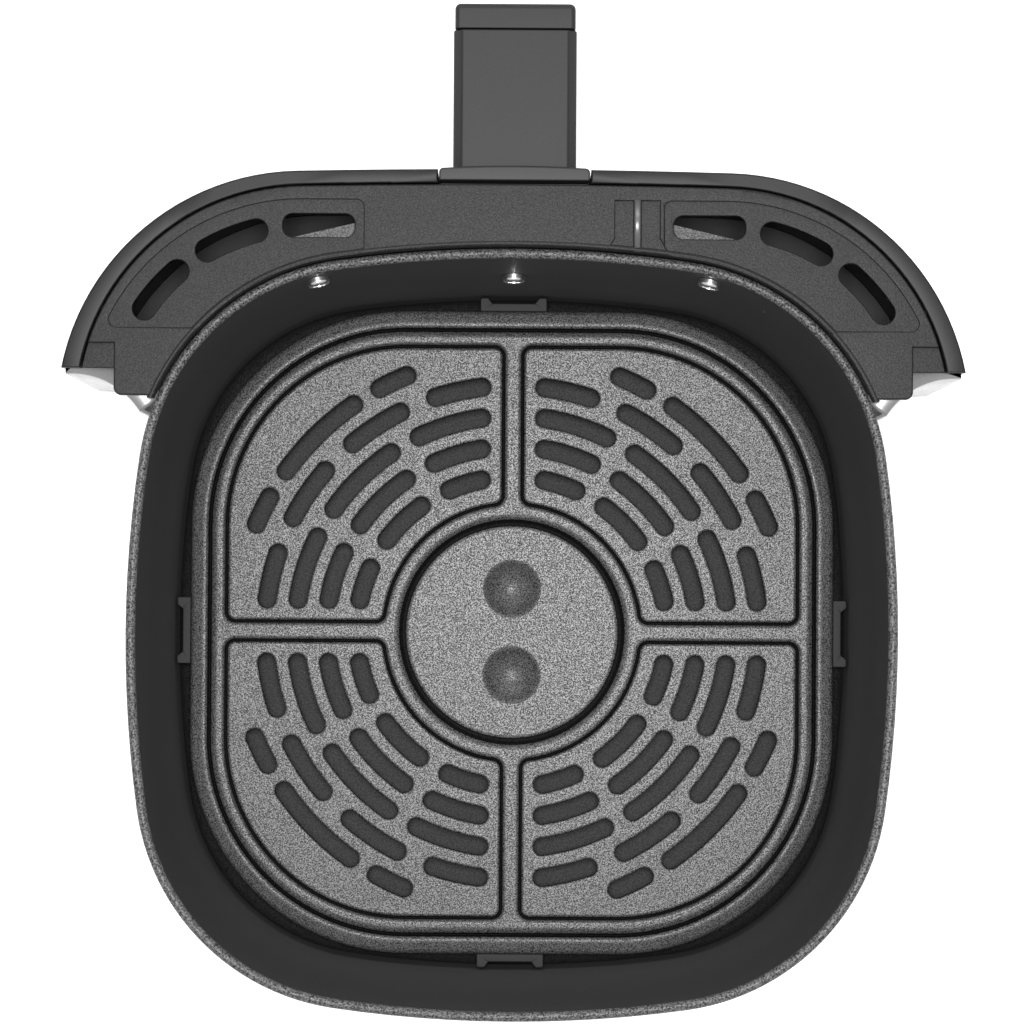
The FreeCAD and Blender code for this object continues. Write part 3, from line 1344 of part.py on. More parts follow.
def make_pan_bracket():
    body = new_body("pan_bracket")
    plan = new_sketch(body, "plan", lift=f"{BRACKET_TOP} - dims.bracket_sheet")
    polygon(
        plan,
        [
            ("-dims.bracket_half", "-dims.bracket_end * 0.6"),
            ("-dims.bracket_half", "-dims.bracket_end"),
            ("-dims.bracket_nose_half", "-dims.bracket_nose"),
            ("dims.bracket_nose_half", "-dims.bracket_nose"),
            ("dims.bracket_half", "-dims.bracket_end"),
            ("dims.bracket_half", "-dims.bracket_end * 0.6"),
        ],
    )
    pad(body, plan, "dims.bracket_sheet", "flange")
    mouth = new_sketch(body, "pan_side", lift=BRACKET_TOP)
    pan_outline(mouth, "dims.bead_radius - dims.bracket_clearance")
    pocket(body, mouth, BRACKET_TOP, "pan_side")
    nose = new_sketch(body, "nose", lift=BRACKET_TOP)
    rectangle(
        nose,
        "-dims.bracket_nose_half",
        "-dims.bracket_nose",
        "2 * dims.bracket_nose_half",
        "dims.bracket_sheet",
    )
    pad(body, nose, "dims.nose_drop", "nose", down=True)
    top = size(BRACKET_TOP)
    tab, sheet_thick = D("tab_width"), D("bracket_sheet")
    for index, (place, turn) in enumerate(screw_places()):
        leg = body.newObject("PartDesign::AdditiveBox", f"pan_bracket_leg_{index}")
        leg.setExpression("Length", "dims.tab_width")
        leg.setExpression("Height", "dims.bracket_sheet")
        rise = (top - sheet_thick / 2 - place.z) / math.cos(math.radians(D("pan_draft")))
        leg.Width = rise + tab / 2
        corner = turn.multVec(Vector(-tab / 2, -tab / 2, D("frame_clearance")))
        leg.Placement = Placement(place + corner, turn)
        doc.recompute()
        hole = body.newObject("PartDesign::SubtractiveCylinder", f"pan_bracket_hole_{index}")
        hole.setExpression("Radius", "dims.pan_screw / 2 + 0.2")
        hole.setExpression("Height", "dims.bracket_sheet * 3")
        hole.Placement = Placement(place - turn.multVec(UP) * sheet_thick, turn)
        doc.recompute()
    for side in (1, -1):
        bolt_hole(body, side, "dims.bolt / 2 + 0.2", "dims.bracket_nose + 1")
    return body


def turned_screw(diameter, length, head, head_height):
    """A pan-head screw along +Z, its head below z = 0, with a cross recess in the head."""
    crown = head_height * 0.45
    points = [
        Vector(0, 0, -head_height),
        Vector(head / 2 - crown, 0, -head_height),
        Vector(head / 2, 0, -head_height + crown),
        Vector(head / 2, 0, 0),
        Vector(diameter / 2, 0, 0),
        Vector(diameter / 2, 0, length - diameter * 0.3),
        Vector(diameter * 0.3, 0, length),
        Vector(0, 0, length),
    ]
    middle = Vector(head / 2 - crown * 0.3, 0, -head_height + crown * 0.3)
    edges = [Part.makeLine(a, b) for a, b in zip(points, points[1:] + points[:1])]
    edges[1] = Part.Arc(points[1], middle, points[2]).toShape()
    solid = Part.Face(Part.Wire(edges)).revolve(Vector(), UP, 360)
    blade = head * 0.55
    thin = head * 0.13
    deep = head_height * 0.55
    for along, across in ((blade, thin), (thin, blade)):
        corner = Vector(-along / 2, -across / 2, -head_height - 0.01)
        solid = solid.cut(Part.makeBox(along, across, deep, corner))
    return solid


def fastener_group(name, solid, places):
    """One node that holds the same fastener at several places."""
    copies = []
    for place, turn in places:
        copy = solid.copy()
        copy.Placement = Placement(place, turn)
        copies.append(copy)
    feature = doc.addObject("Part::Feature", name)
    feature.Label = name
    feature.Shape = Part.makeCompound(copies)
    return feature


def make_pan_screws():
    solid = turned_screw(
        D("pan_screw"), D("pan_screw_length"), D("pan_screw_head"), D("pan_screw_head_height")
    )
    bow = (D("pan_screw_head") / 2) ** 2 / 2 / (D("rim_corner_radius") - wall_inset(BRACKET_TOP))
    inside = D("pan_wall") + 1.5 * bow
    places = [(place - turn.multVec(UP) * inside, turn) for place, turn in screw_places()]
    return fastener_group("pan_screws", solid, places)


def make_pan_nuts():
    radius = D("nut_across") / math.sqrt(3)
    corners = [
        Vector(radius * math.cos(math.radians(60 * i)), radius * math.sin(math.radians(60 * i)), 0)
        for i in range(7)
    ]
    block = Part.Face(Part.makePolygon(corners)).extrude(UP * D("nut_height"))
    bore = Part.makeCylinder(D("pan_screw") / 2, D("nut_height") * 2, Vector(0, 0, -1))
    lift = D("bracket_sheet") + D("frame_clearance")
    places = [(place + turn.multVec(UP) * lift, turn) for place, turn in screw_places()]
    return fastener_group("pan_nuts", block.cut(bore), places)


def make_handle_bolts():
    solid = turned_screw(D("bolt"), D("bolt_length"), D("bolt_head"), D("bolt") * 0.6)
    forward = Rotation(Vector(1, 0, 0), 90)
    y = -(D("bracket_nose") - D("bracket_sheet"))
    places = [(Vector(side * D("bolt_across"), y, size(BOLT_HEIGHT)), forward) for side in (1, -1)]
    return fastener_group("handle_bolts", solid, places)


def tapping(length):
    return turned_screw(D("tapping_screw"), length, D("tapping_head"), D("tapping_head_height"))


def make_cover_screws():
    height = size(f"{LEDGE_TOP} - dims.ledge_sheet")
    places = [(Vector(size(x), size(y), height), Rotation()) for x, y in cover_screw_places()]
    return fastener_group("cover_screws", tapping(D("tapping_length")), places)


def make_bottom_screws():
    height = D("fascia_bottom")
    places = [(Vector(size(x), size(y), height), Rotation()) for x, y in post_places()]
    return fastener_group("bottom_screws", tapping(D("tapping_length")), places)


def make_grip_screws():
    y = -size(f"{GRIP_BACK} + dims.tapping_head_height")
    forward = Rotation(Vector(1, 0, 0), 90)
    places = [(Vector(0, y, size(height)), forward) for height in GRIP_SCREWS]
    return fastener_group("grip_screws", tapping(D("grip_screw_length")), places)


# --- assembly -----------------------------------------------------------------------------------

parts = [
    make_pan(),
    make_crisper_plate(),
    make_bumper("bumper_front", 0),
    make_bumper("bumper_right", 90),
    make_bumper("bumper_back", 180),
    make_bumper("bumper_left", 270),
    make_front_frame(),
    make_front_skin(),
    make_top_cover(),
    make_bottom_cover(),
    make_end_plate("end_plate_left", -1),
    make_end_plate("end_plate_right", 1),
    make_heat_shield(),
    make_pan_bracket(),
    make_handle_mount(),
    make_handle_arm(),
    make_handle_front_cover(),
    make_handle_core(),
    make_pan_screws(),
    make_pan_nuts(),
    make_handle_bolts(),
    make_cover_screws(),
    make_bottom_screws(),
    make_grip_screws(),
]
doc.recompute()
for item in doc.Objects:
    if "Invalid" in item.State or "Error" in item.State:
        raise RuntimeError(f"{item.Label} failed: {item.State}")
for item in parts:
    if item.Shape.isNull() or not item.Shape.isValid():
        raise RuntimeError(f"{item.Label} has no valid shape")
os.makedirs("parts", exist_ok=True)
for item in parts:
    item.Shape.exportStep(f"parts/{item.Label}.step")
    print(item.Label, round(item.Shape.Volume))
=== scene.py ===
import math

import bmesh
import bpy
from mathutils import Matrix, Vector


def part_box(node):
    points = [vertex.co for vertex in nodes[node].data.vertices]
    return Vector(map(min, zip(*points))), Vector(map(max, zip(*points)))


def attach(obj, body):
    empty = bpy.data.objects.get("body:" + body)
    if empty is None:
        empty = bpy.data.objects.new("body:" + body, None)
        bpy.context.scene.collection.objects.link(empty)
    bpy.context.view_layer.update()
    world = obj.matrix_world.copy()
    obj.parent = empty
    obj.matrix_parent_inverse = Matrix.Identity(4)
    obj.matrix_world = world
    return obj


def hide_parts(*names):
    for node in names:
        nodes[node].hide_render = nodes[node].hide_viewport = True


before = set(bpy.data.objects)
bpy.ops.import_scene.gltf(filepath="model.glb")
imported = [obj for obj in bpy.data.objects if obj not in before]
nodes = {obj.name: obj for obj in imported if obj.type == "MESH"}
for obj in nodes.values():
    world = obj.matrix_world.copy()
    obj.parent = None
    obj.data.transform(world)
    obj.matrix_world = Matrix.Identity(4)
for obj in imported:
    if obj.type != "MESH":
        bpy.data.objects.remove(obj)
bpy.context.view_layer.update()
mm = 0.001
UP = Vector((0, 0, 1))

# Table, light and camera. A pale matt table top runs well past the view. Wide soft lamps hang
# overhead in a white room. The camera looks down into the pan from over a metre above its rim,
# leaning slightly towards the handle.
rim_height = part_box("pan")[1].z
bpy.ops.mesh.primitive_plane_add(size=6, location=(0, 0, 0))
table = bpy.context.object
table.name = "table_top"
table_white = bpy.data.materials.new("table_white")
table_white.use_nodes = True
table_shader = table_white.node_tree.nodes["Principled BSDF"]
table_shader.inputs["Base Color"].default_value = (0.93, 0.93, 0.93, 1)
table_shader.inputs["Roughness"].default_value = 0.9
table.data.materials.append(table_white)
table_shader.inputs["Emission Color"].default_value = (1, 1, 1, 1)
table_shader.inputs["Emission Strength"].default_value = 0.5
bpy.context.scene.view_settings.view_transform = "Standard"

world = bpy.data.worlds.new("white_room")
bpy.context.scene.world = world
world.use_nodes = True
room = world.node_tree.nodes["Background"]
room.inputs["Color"].default_value = (1, 1, 1, 1)
room.inputs["Strength"].default_value = 0.6


def soft_lamp(name, place, target, width, depth, power):
    """A soft rectangular lamp that faces a target."""
    lamp = bpy.data.lights.new(name, "AREA")
    lamp.shape = "RECTANGLE"
    lamp.size = width
    lamp.size_y = depth
    lamp.energy = power
    holder = bpy.data.objects.new(name, lamp)
    bpy.context.scene.collection.objects.link(holder)
    holder.location = place
    holder.rotation_euler = (Vector(target) - Vector(place)).to_track_quat("-Z", "Y").to_euler()


soft_lamp("overhead_lamp", (0, -0.05, 1.5), (0, 0, 0), 0.2, 0.2, 18)
soft_lamp("front_lamp", (0, -1.3, 1.1), (0, -0.05, 0.1), 1.2, 0.5, 6)

camera_lens = bpy.data.cameras.new("camera")
camera_lens.lens = 127.3
camera_lens.sensor_width = 36
camera = bpy.data.objects.new("camera", camera_lens)
bpy.context.scene.collection.objects.link(camera)
camera.location = (0, -11.1 * mm, rim_height + 1170 * mm)
camera.rotation_euler = (math.radians(1.39), 0, math.radians(180 + 0.35))
bpy.context.scene.camera = camera

# Pan: a deep steel pressing with a rolled rim, draft on its walls and a round foot, coated inside
# and out with a dark non-stick that carries a fine granular fleck. Its plan is eight arcs: four
# long crowned sides and four round corners.
pan_low, pan_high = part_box("pan")
rim_half = pan_high.x / mm
rim_side_radius = 404
rim_corner_radius = 75
bead_radius = 1.6
pan_wall = 1.2
pan_draft = math.radians(4)
pan_foot = 12


def sweep(bm, section, moves, start=None):
    """Carries a section, given as (x, z) points in millimetres, along a path of moves.

    A move is either ("turn", x, y, degrees) about a centre, or ("run", x, y) straight on.
    """
    verts = [bm.verts.new((x * mm, 0, z * mm)) for x, z in section]
    rail = [bm.edges.new(pair) for pair in zip(verts, verts[1:])]
    if start:
        bmesh.ops.transform(bm, matrix=start, verts=verts)
    for kind, x, y, *angle in moves:
        if kind == "run":
            grown = bmesh.ops.extrude_edge_only(bm, edges=rail)["geom"]
            moved = [v for v in grown if isinstance(v, bmesh.types.BMVert)]
            bmesh.ops.translate(bm, verts=moved, vec=Vector((x, y, 0)) * mm)
            rail = [e for e in grown if isinstance(e, bmesh.types.BMEdge) and set(e.verts) <= set(moved)]
            continue
        grown = bmesh.ops.spin(
            bm,
            geom=rail,
            cent=Vector((x, y, 0)) * mm,
            axis=UP,
            angle=math.radians(angle[0]),
            steps=max(6, round(abs(angle[0]) / 3)),
        )
        rail = [e for e in grown["geom_last"] if isinstance(e, bmesh.types.BMEdge)]
    bmesh.ops.remove_doubles(bm, verts=bm.verts, dist=0.002 * mm)


def pan_path():
    """The pan's plan, from the middle of its right side all the way round."""
    reach = rim_side_radius - rim_half
    gap = rim_side_radius - rim_corner_radius
    middle = (math.sqrt(2 * gap**2 - reach**2) - reach) / 2
    half_side = math.degrees(math.asin(middle / gap))
    moves = []
    for quarter in range(4):
        cos, sin = round(math.cos(quarter * math.pi / 2)), round(math.sin(quarter * math.pi / 2))
        moves.append(("turn", -reach * cos, -reach * sin, half_side))
        moves.append(("turn", middle * (cos - sin), middle * (cos + sin), 90 - 2 * half_side))
        moves.append(("turn", reach * sin, -reach * cos, half_side))
    return moves


def bend(across, up, radius, start, stop, steps):
    """Points along a round bend in a section."""
    angles = [math.radians(start + (stop - start) * i / steps) for i in range(steps + 1)]
    return [(across + radius * math.cos(a), up + radius * math.sin(a)) for a in angles]


def finish_piece(name, bm, body, material, slot, *replaced):
    """Makes a smooth object of a mesh, in its place, riding on a body in place of CAD nodes."""
    mesh = bpy.data.meshes.new(name)
    bmesh.ops.remove_doubles(bm, verts=bm.verts, dist=0.002 * mm)
    bmesh.ops.recalc_face_normals(bm, faces=bm.faces)
    for face in bm.faces:
        face.smooth = True
    bm.to_mesh(mesh)
    bm.free()
    piece = bpy.data.objects.new(name, mesh)
    bpy.context.scene.collection.objects.link(piece)
    mesh.materials.append(material)
    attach(piece, body)
    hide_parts(*replaced)
    return piece


def new_group(name, outputs, **inputs):
    """An empty shader node group with number inputs and named outputs."""
    group = bpy.data.node_groups.new(name, "ShaderNodeTree")
    for title, value in inputs.items():
        socket = group.interface.new_socket(title, in_out="INPUT", socket_type="NodeSocketFloat")
        socket.default_value = value
    for title in outputs:
        group.interface.new_socket(title, in_out="OUTPUT", socket_type="NodeSocketFloat")
    return group, group.nodes.new("NodeGroupInput"), group.nodes.new("NodeGroupOutput")


def node(tree, kind, settings=None, **inputs):
    """A node in a tree, with its settings and its input values or links."""
    made = tree.nodes.new(kind)
    for key, value in (settings or {}).items():
        setattr(made, key, value)
    for key, value in inputs.items():
        socket = made.inputs[int(key[1:])] if key[1:].isdigit() else made.inputs[key.replace("_", " ")]
        if isinstance(value, bpy.types.NodeSocket):
            tree.links.new(value, socket)
        else:
            socket.default_value = value
    return made


# Fleck: the grain of a granular non-stick coat. Fleck is 0 to 1 over the surface, and Relief is the
# same grain for a bump.
fleck_group, fleck_in, fleck_out = new_group("fleck", ("Fleck", "Relief"), Grain=0.4, Spread=0.5)
place = node(
    fleck_group,
    "ShaderNodeMapping",
    Vector=node(fleck_group, "ShaderNodeTexCoord").outputs["Object"],
    Rotation=(0.7, 0.5, 0.3),
).outputs["Vector"]
scale = node(fleck_group, "ShaderNodeMath", {"operation": "DIVIDE"}, i0=1000.0, i1=fleck_in.outputs["Grain"])
coarse = node(
    fleck_group, "ShaderNodeTexNoise", Vector=place, Scale=scale.outputs[0], Detail=1.0, Roughness=0.7
)
low = node(fleck_group, "ShaderNodeMath", {"operation": "SUBTRACT"}, i0=0.5, i1=fleck_in.outputs["Spread"])
high = node(fleck_group, "ShaderNodeMath", {"operation": "ADD"}, i0=0.5, i1=fleck_in.outputs["Spread"])
spread = node(
    fleck_group,
    "ShaderNodeMapRange",
    Value=coarse.outputs["Fac"],
    From_Min=low.outputs[0],
    From_Max=high.outputs[0],
)
fleck_group.links.new(spread.outputs[0], fleck_out.inputs["Fleck"])
fleck_group.links.new(coarse.outputs["Fac"], fleck_out.inputs["Relief"])


def use_group(tree, group, **inputs):
    """Places a node group in a tree with its own values."""
    placed = tree.nodes.new("ShaderNodeGroup")
    placed.node_tree = group
    for key, value in inputs.items():
        placed.inputs[key].default_value = value
    return placed


def new_material(name, color, roughness, metallic=0.0, specular=0.5, coat=0.0):
    """A principled material and its node tree and shader."""
    made = bpy.data.materials.new(name)
    made.use_nodes = True
    shader = made.node_tree.nodes["Principled BSDF"]
    shader.inputs["Base Color"].default_value = (*color, 1)
    shader.inputs["Roughness"].default_value = roughness
    shader.inputs["Metallic"].default_value = metallic
    shader.inputs["Specular IOR Level"].default_value = specular
    shader.inputs["Coat Weight"].default_value = coat
    return made, made.node_tree, shader


def fleck_material(name, dark, light, roughness, metallic, grain, spread, bump, specular=0.5, dull=0.0):
    """A granular coat: grains between two colours over a fine relief, some duller than others."""
    made, tree, shader = new_material(name, dark, roughness, metallic, specular)
    fleck = use_group(tree, fleck_group, Grain=grain, Spread=spread)
    mix = node(
        tree,
        "ShaderNodeMix",
        {"data_type": "RGBA"},
        Factor=fleck.outputs["Fleck"],
        i6=(*dark, 1),
        i7=(*light, 1),
    )
    tree.links.new(mix.outputs[2], shader.inputs["Base Color"])
    shine = node(
        tree,
        "ShaderNodeMapRange",
        Value=fleck.outputs["Fleck"],
        To_Min=roughness + dull,
        To_Max=roughness,
    )
    tree.links.new(shine.outputs[0], shader.inputs["Roughness"])
    relief = node(
        tree, "ShaderNodeBump", Strength=bump, Distance=0.1 * mm, Height=fleck.outputs["Relief"]
    )
    tree.links.new(relief.outputs[0], shader.inputs["Normal"])
    return made


pan_coat = fleck_material("pan_coat", (0.06,) * 3, (0.1,) * 3, 0.6, 0.0, 0.5, 0.25, 0.2, 0.3)
# Painted shade: the floor's coat is far darker than the walls' coat, standing in for the shade under the
# crisper plate.
painted_floor_shade = fleck_material("painted_floor_shade", (0.004,) * 3, (0.04,) * 3, 0.6, 0.0, 0.5, 0.15, 0.4, 0.3)
bead_coat = fleck_material("bead_coat", (0.005,) * 3, (0.16,) * 3, 0.42, 0.0, 0.6, 0.13, 0.6, 0.4, 0.15)

bead_height = pan_high.z / mm - bead_radius
bead_centre = rim_half - bead_radius
wall_foot = bead_centre - (bead_height - pan_foot) * math.tan(pan_draft)
outer_foot = wall_foot - pan_foot
section = [(outer_foot - 2, 0)]
section += bend(outer_foot, pan_foot, pan_foot, -90, 0, 8)
section += bend(bead_centre, bead_height, bead_radius, -70, 225, 18)
section += bend(outer_foot, pan_foot, pan_foot - pan_wall, 0, -90, 8)
section += [(outer_foot - 2, pan_wall)]
bm = bmesh.new()
sweep(bm, section, pan_path())
bmesh.ops.holes_fill(bm, edges=[e for e in bm.edges if e.is_boundary])
pan = finish_piece("coated_pan", bm, "drawer", pan_coat, "coated_steel", "pan")
pan.data.materials.append(bead_coat)
pan.data.materials.append(painted_floor_shade)
for face in pan.data.polygons:
    face.material_index = int(face.center.z > pan_high.z - 2 * bead_radius * mm)
    # Painted shade: up-facing faces low in the pan take the dark floor coat, for the shade under the plate.
    if face.center.z < pan_foot * mm and face.normal.z > 0:
        face.material_index = 2

# Crisper plate: one pressed sheet with a turned-down edge. A groove runs inside the edge, four
# slotted panels are sunk between raised ribs, and a disc with two finger dimples is sunk in the
# middle. It has a lighter, coarser granular coat than the pan.
plate_low, plate_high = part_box("crisper_plate")
plate_half = plate_high.x / mm
plate_top = plate_high.z / mm
plate_corner = 74.3
plate_sheet = 1.0
plate_skirt = 10.5
rib_half = 3.1
ring_radius = 44.1
panel_half = plate_half - 12.1
panel_corner = plate_corner - 12.1
panel_bend = 3.4
panel_floor = plate_top - 2.0
disc_radius = 37.6
disc_floor = plate_top - 3.4
dimple_offset = 14.9
dimple_radius = 9.4
dimple_depth = 4.4
slot_width = 6.0
slot_radii = [53.6 + 10.55 * row for row in range(5)]
slot_bridge = 5.2
wide_bridge = 7.3
rib_clearance = 7.9

plate_coat = fleck_material(
    "plate_coat", (0.002,) * 3, (0.13,) * 3, 0.32, 0.0, 0.42, 0.1, 0.5, 0.45, 0.25
)


def square_path(half, corner):
    """A square with round corners, from the middle of its right side all the way round."""
    middle = half - corner
    moves = [("run", 0, middle)]
    for quarter in range(4):
        cos, sin = round(math.cos(quarter * math.pi / 2)), round(math.sin(quarter * math.pi / 2))
        moves.append(("turn", middle * (cos - sin), middle * (cos + sin), 90))
        length = middle if quarter == 3 else 2 * middle
        moves.append(("run", -length * cos, -length * sin))
    return moves


def panel_path():
    """One quarter's panel, from its right side round the border, the rib, the ring and the rib."""
    inner = rib_half + panel_bend
    reach = math.sqrt((ring_radius + panel_bend) ** 2 - inner**2)
    low = math.degrees(math.atan2(inner, reach))
    middle = panel_half - panel_corner
    return [
        ("run", 0, middle - inner),
        ("turn", middle, middle, 90),
        ("run", inner - middle, 0),
        ("turn", inner, panel_half - panel_bend, 90),
        ("run", 0, reach - (panel_half - panel_bend)),
        ("turn", inner, reach, 90 - low),
        ("turn", 0, 0, 2 * low - 90),
        ("turn", reach, inner, 90 - low),
        ("run", panel_half - panel_bend - reach, 0),
        ("turn", panel_half - panel_bend, inner, 90),
    ]


def slot_spans():
    """Every slot of one panel, as its row's radius and its two ends in degrees from the rib."""
    spans = []
    for row, radius in enumerate(slot_radii[:4]):
        bridges = (30, 60) if row < 3 else (22.8, 45, 67.2)
        edge = math.degrees(math.asin(rib_clearance / radius))
        half = math.degrees((slot_bridge if row < 3 else wide_bridge) / 2 / radius)
        starts = [edge] + [b + half for b in bridges]
        stops = [b - half for b in bridges] + [90 - edge]
        spans += [(radius, start, stop) for start, stop in zip(starts, stops)]
    return spans + [(slot_radii[4], *ends) for ends in ((20.8, 30.6), (33.4, 56.6), (59.4, 69.2))]


def cut_slot(bm, radius, start, stop):
    """One slot's rolled edge, from the panel down through the sheet."""
    cap = math.degrees(math.asin(slot_width / 2 / radius))
    first, last = start + cap, stop - cap
    edge = radius + slot_width / 2
    section = [
        (edge + 0.85, panel_floor),
        (edge + 0.65, panel_floor),
        (edge + 0.38, panel_floor - 0.06),
        (edge + 0.14, panel_floor - 0.24),
        (edge, panel_floor - 0.6),
        (edge, panel_floor - 1.9),
    ]
    ends = [(radius * math.cos(math.radians(a)), radius * math.sin(math.radians(a))) for a in (last, first)]
    moves = [
        ("turn", 0, 0, last - first),
        ("turn", *ends[0], 180),
        ("turn", 0, 0, first - last),
        ("turn", *ends[1], 180),
    ]
    sweep(bm, section, moves, Matrix.Rotation(math.radians(first), 4, "Z"))


def fill_level(bm, height):
    """Fills the flat between all the open edges at one height."""
    rim = [e for e in bm.edges if e.is_boundary and all(abs(v.co.z - height * mm) < 1e-6 for v in e.verts)]
    bmesh.ops.triangle_fill(bm, edges=rim, use_beauty=True, normal=UP)


def take_in(bm, other, turn=0):
    """Adds a finished mesh to another, turned about the middle."""
    bmesh.ops.rotate(other, verts=other.verts, matrix=Matrix.Rotation(math.radians(turn), 3, "Z"))
    carrier = bpy.data.meshes.new("carrier")
    other.to_mesh(carrier)
    bm.from_mesh(carrier)
    bpy.data.meshes.remove(carrier)


panel = bmesh.new()
groove = [
    (panel_half + 1.8, plate_top),
    (panel_half + 1.4, plate_top),
    (panel_half + 0.95, plate_top - 0.07),
    (panel_half + 0.6, plate_top - 0.3),
    (panel_half + 0.4, plate_top - 0.8),
    (panel_half + 0.3, plate_top - 2.2),
    (panel_half + 0.1, plate_top - 3.0),
    (panel_half - 0.1, plate_top - 3.3),
    (panel_half - 0.3, plate_top - 3.3),
    (panel_half - 0.5, plate_top - 3.0),
    (panel_half - 0.75, plate_top - 2.5),
    (panel_half - 0.95, plate_top - 2.15),
    (panel_half - 1.4, panel_floor),
    (panel_half - 1.7, panel_floor),
]
start = Matrix.Translation((0, (rib_half + panel_bend) * mm, 0))
sweep(panel, groove, panel_path(), start)
for radius, first, last in slot_spans():
    slot = bmesh.new()
    cut_slot(slot, radius, first, last)
    take_in(panel, slot)
    slot.free()
fill_level(panel, panel_floor)

plate = bmesh.new()
edge_section = [(plate_half, plate_top - plate_skirt)]
edge_section += bend(plate_half - 2.2, plate_top - 3.1, 2.2, 0, 78, 6)
edge_section += [
    (plate_half - 3.6, plate_top - 0.55),
    (plate_half - 5.0, plate_top - 0.2),
    (plate_half - 5.5, plate_top - 0.4),
    (plate_half - 5.9, plate_top - 1.1),
    (plate_half - 6.35, plate_top - 2.5),
    (plate_half - 6.6, plate_top - 2.9),
    (plate_half - 6.85, plate_top - 2.5),
    (plate_half - 7.3, plate_top - 1.1),
    (plate_half - 7.75, plate_top - 0.45),
    (plate_half - 8.6, plate_top - 0.1),
    (plate_half - 9.2, plate_top),
    (plate_half - 9.5, plate_top),
]
sweep(plate, edge_section, square_path(plate_half, plate_corner))
disc_section = [
    (disc_radius + 3.6, plate_top),
    (disc_radius + 3.2, plate_top),
    (disc_radius + 2.4, plate_top - 0.1),
    (disc_radius + 1.8, plate_top - 0.4),
    (disc_radius + 1.3, plate_top - 1.2),
    (disc_radius + 0.4, disc_floor - 0.2),
    (disc_radius, disc_floor - 0.6),
    (disc_radius - 0.6, disc_floor - 0.6),
    (disc_radius - 1.1, disc_floor - 0.2),
    (disc_radius - 1.7, disc_floor),
    (disc_radius - 2.2, disc_floor),
]
sweep(plate, disc_section, [("turn", 0, 0, 360)])
ball = (dimple_radius**2 + dimple_depth**2) / (2 * dimple_depth)
spread_angle = math.degrees(math.asin(dimple_radius / ball))
for side in (1, -1):
    dimple = bmesh.new()
    cup = bend(0, disc_floor - dimple_depth + ball, ball, -90, -90 + spread_angle - 4, 12)
    cup += [(dimple_radius + 0.5, disc_floor), (dimple_radius + 0.8, disc_floor)]
    sweep(dimple, cup, [("turn", 0, 0, 360)])
    bmesh.ops.translate(dimple, verts=dimple.verts, vec=(0, side * dimple_offset * mm, 0))
    take_in(plate, dimple)
    dimple.free()
fill_level(plate, disc_floor)
for quarter in range(4):
    take_in(plate, panel, 90 if quarter else 0)
panel.free()
fill_level(plate, plate_top)
crisper = finish_piece("crisper_sheet", plate, "crisper", plate_coat, "speckled_coating", "crisper_plate")
# Painted shade: a near-black coat on the groove inside the edge and on the sunken walls round the panels, slots
# and disc, for the shade in these creases.
painted_crease_shade = fleck_material("painted_crease_shade", (0.001,) * 3, (0.01,) * 3, 0.7, 0.0, 0.5, 0.15, 0.3, 0.1)
crisper.data.materials.append(painted_crease_shade)
for face in crisper.data.polygons:
    x, y, z = (abs(face.center.x) / mm, abs(face.center.y) / mm, face.center.z / mm)
    inset = plate_half - max(x, y)
    if min(x, y) > plate_half - plate_corner:
        round_off = math.hypot(x - plate_half + plate_corner, y - plate_half + plate_corner)
        inset = plate_corner - round_off
    in_groove = 5.6 < inset < 7.6 and z < plate_top - 0.9
    in_panel = inset > 11 and math.hypot(x, y) > disc_radius - 1.3 and z < panel_floor - 0.35
    face.material_index = int(in_groove or in_panel)
sheet = crisper.modifiers.new("sheet", "SOLIDIFY")
sheet.thickness = plate_sheet * mm
sheet.offset = -1

# Fascia mouldings: a top cover in satin black with six vents, a frame that shows as a darker band
# round the front, a thin skin wrapped on the frame and a bottom cover. The cover's low edges and the
# bottom cover's edges are a little round; the frame keeps its sharp edges.


def softened(name, source, body, material, slot, width, angle=35, tallest=1000):
    """A copy of a CAD node with its sharp edges rounded over, but not those of its tallest walls."""
    bm = bmesh.new()
    bm.from_mesh(nodes[source].data)
    bm.transform(nodes[source].matrix_world)
    bmesh.ops.remove_doubles(bm, verts=bm.verts, dist=0.002 * mm)
    heights = {f: max(v.co.z for v in f.verts) - min(v.co.z for v in f.verts) for f in bm.faces}
    sharp = [
        e
        for e in bm.edges
        if len(e.link_faces) == 2
        and (e.is_convex or tallest > 100)
        and e.calc_face_angle() > math.radians(angle)
        and max(heights[f] for f in e.link_faces) < tallest * mm
    ]
    bmesh.ops.bevel(
        bm,
        geom=sharp if width else [],
        offset=width * mm,
        offset_type="OFFSET",
        segments=2,
        profile=0.5,
        affect="EDGES",
        clamp_overlap=False,
        loop_slide=False,
        material=-1,
    )
    for edge in bm.edges:
        edge.smooth = edge.calc_face_angle(0) < math.radians(46)
    piece = finish_piece(name, bm, body, material, slot, source)
    piece.modifiers.new("shading", "WEIGHTED_NORMAL").keep_sharp = True
    return piece


cover_black = fleck_material("cover_black", (0.006,) * 3, (0.018,) * 3, 0.42, 0.0, 0.5, 0.2, 0.5, 0.22, 0.1)
band_black = fleck_material("band_black", (0.006,) * 3, (0.012,) * 3, 0.45, 0.0, 0.4, 0.3, 0.15, 0.25)
softened("cover_moulding", "top_cover", "drawer", cover_black, "cover_plastic", 0.35, 35, 3)
softened("frame_moulding", "front_frame", "drawer", band_black, "frame_plastic", 0)
softened("bottom_moulding", "bottom_cover", "drawer", band_black, "black_plastic", 0.1)

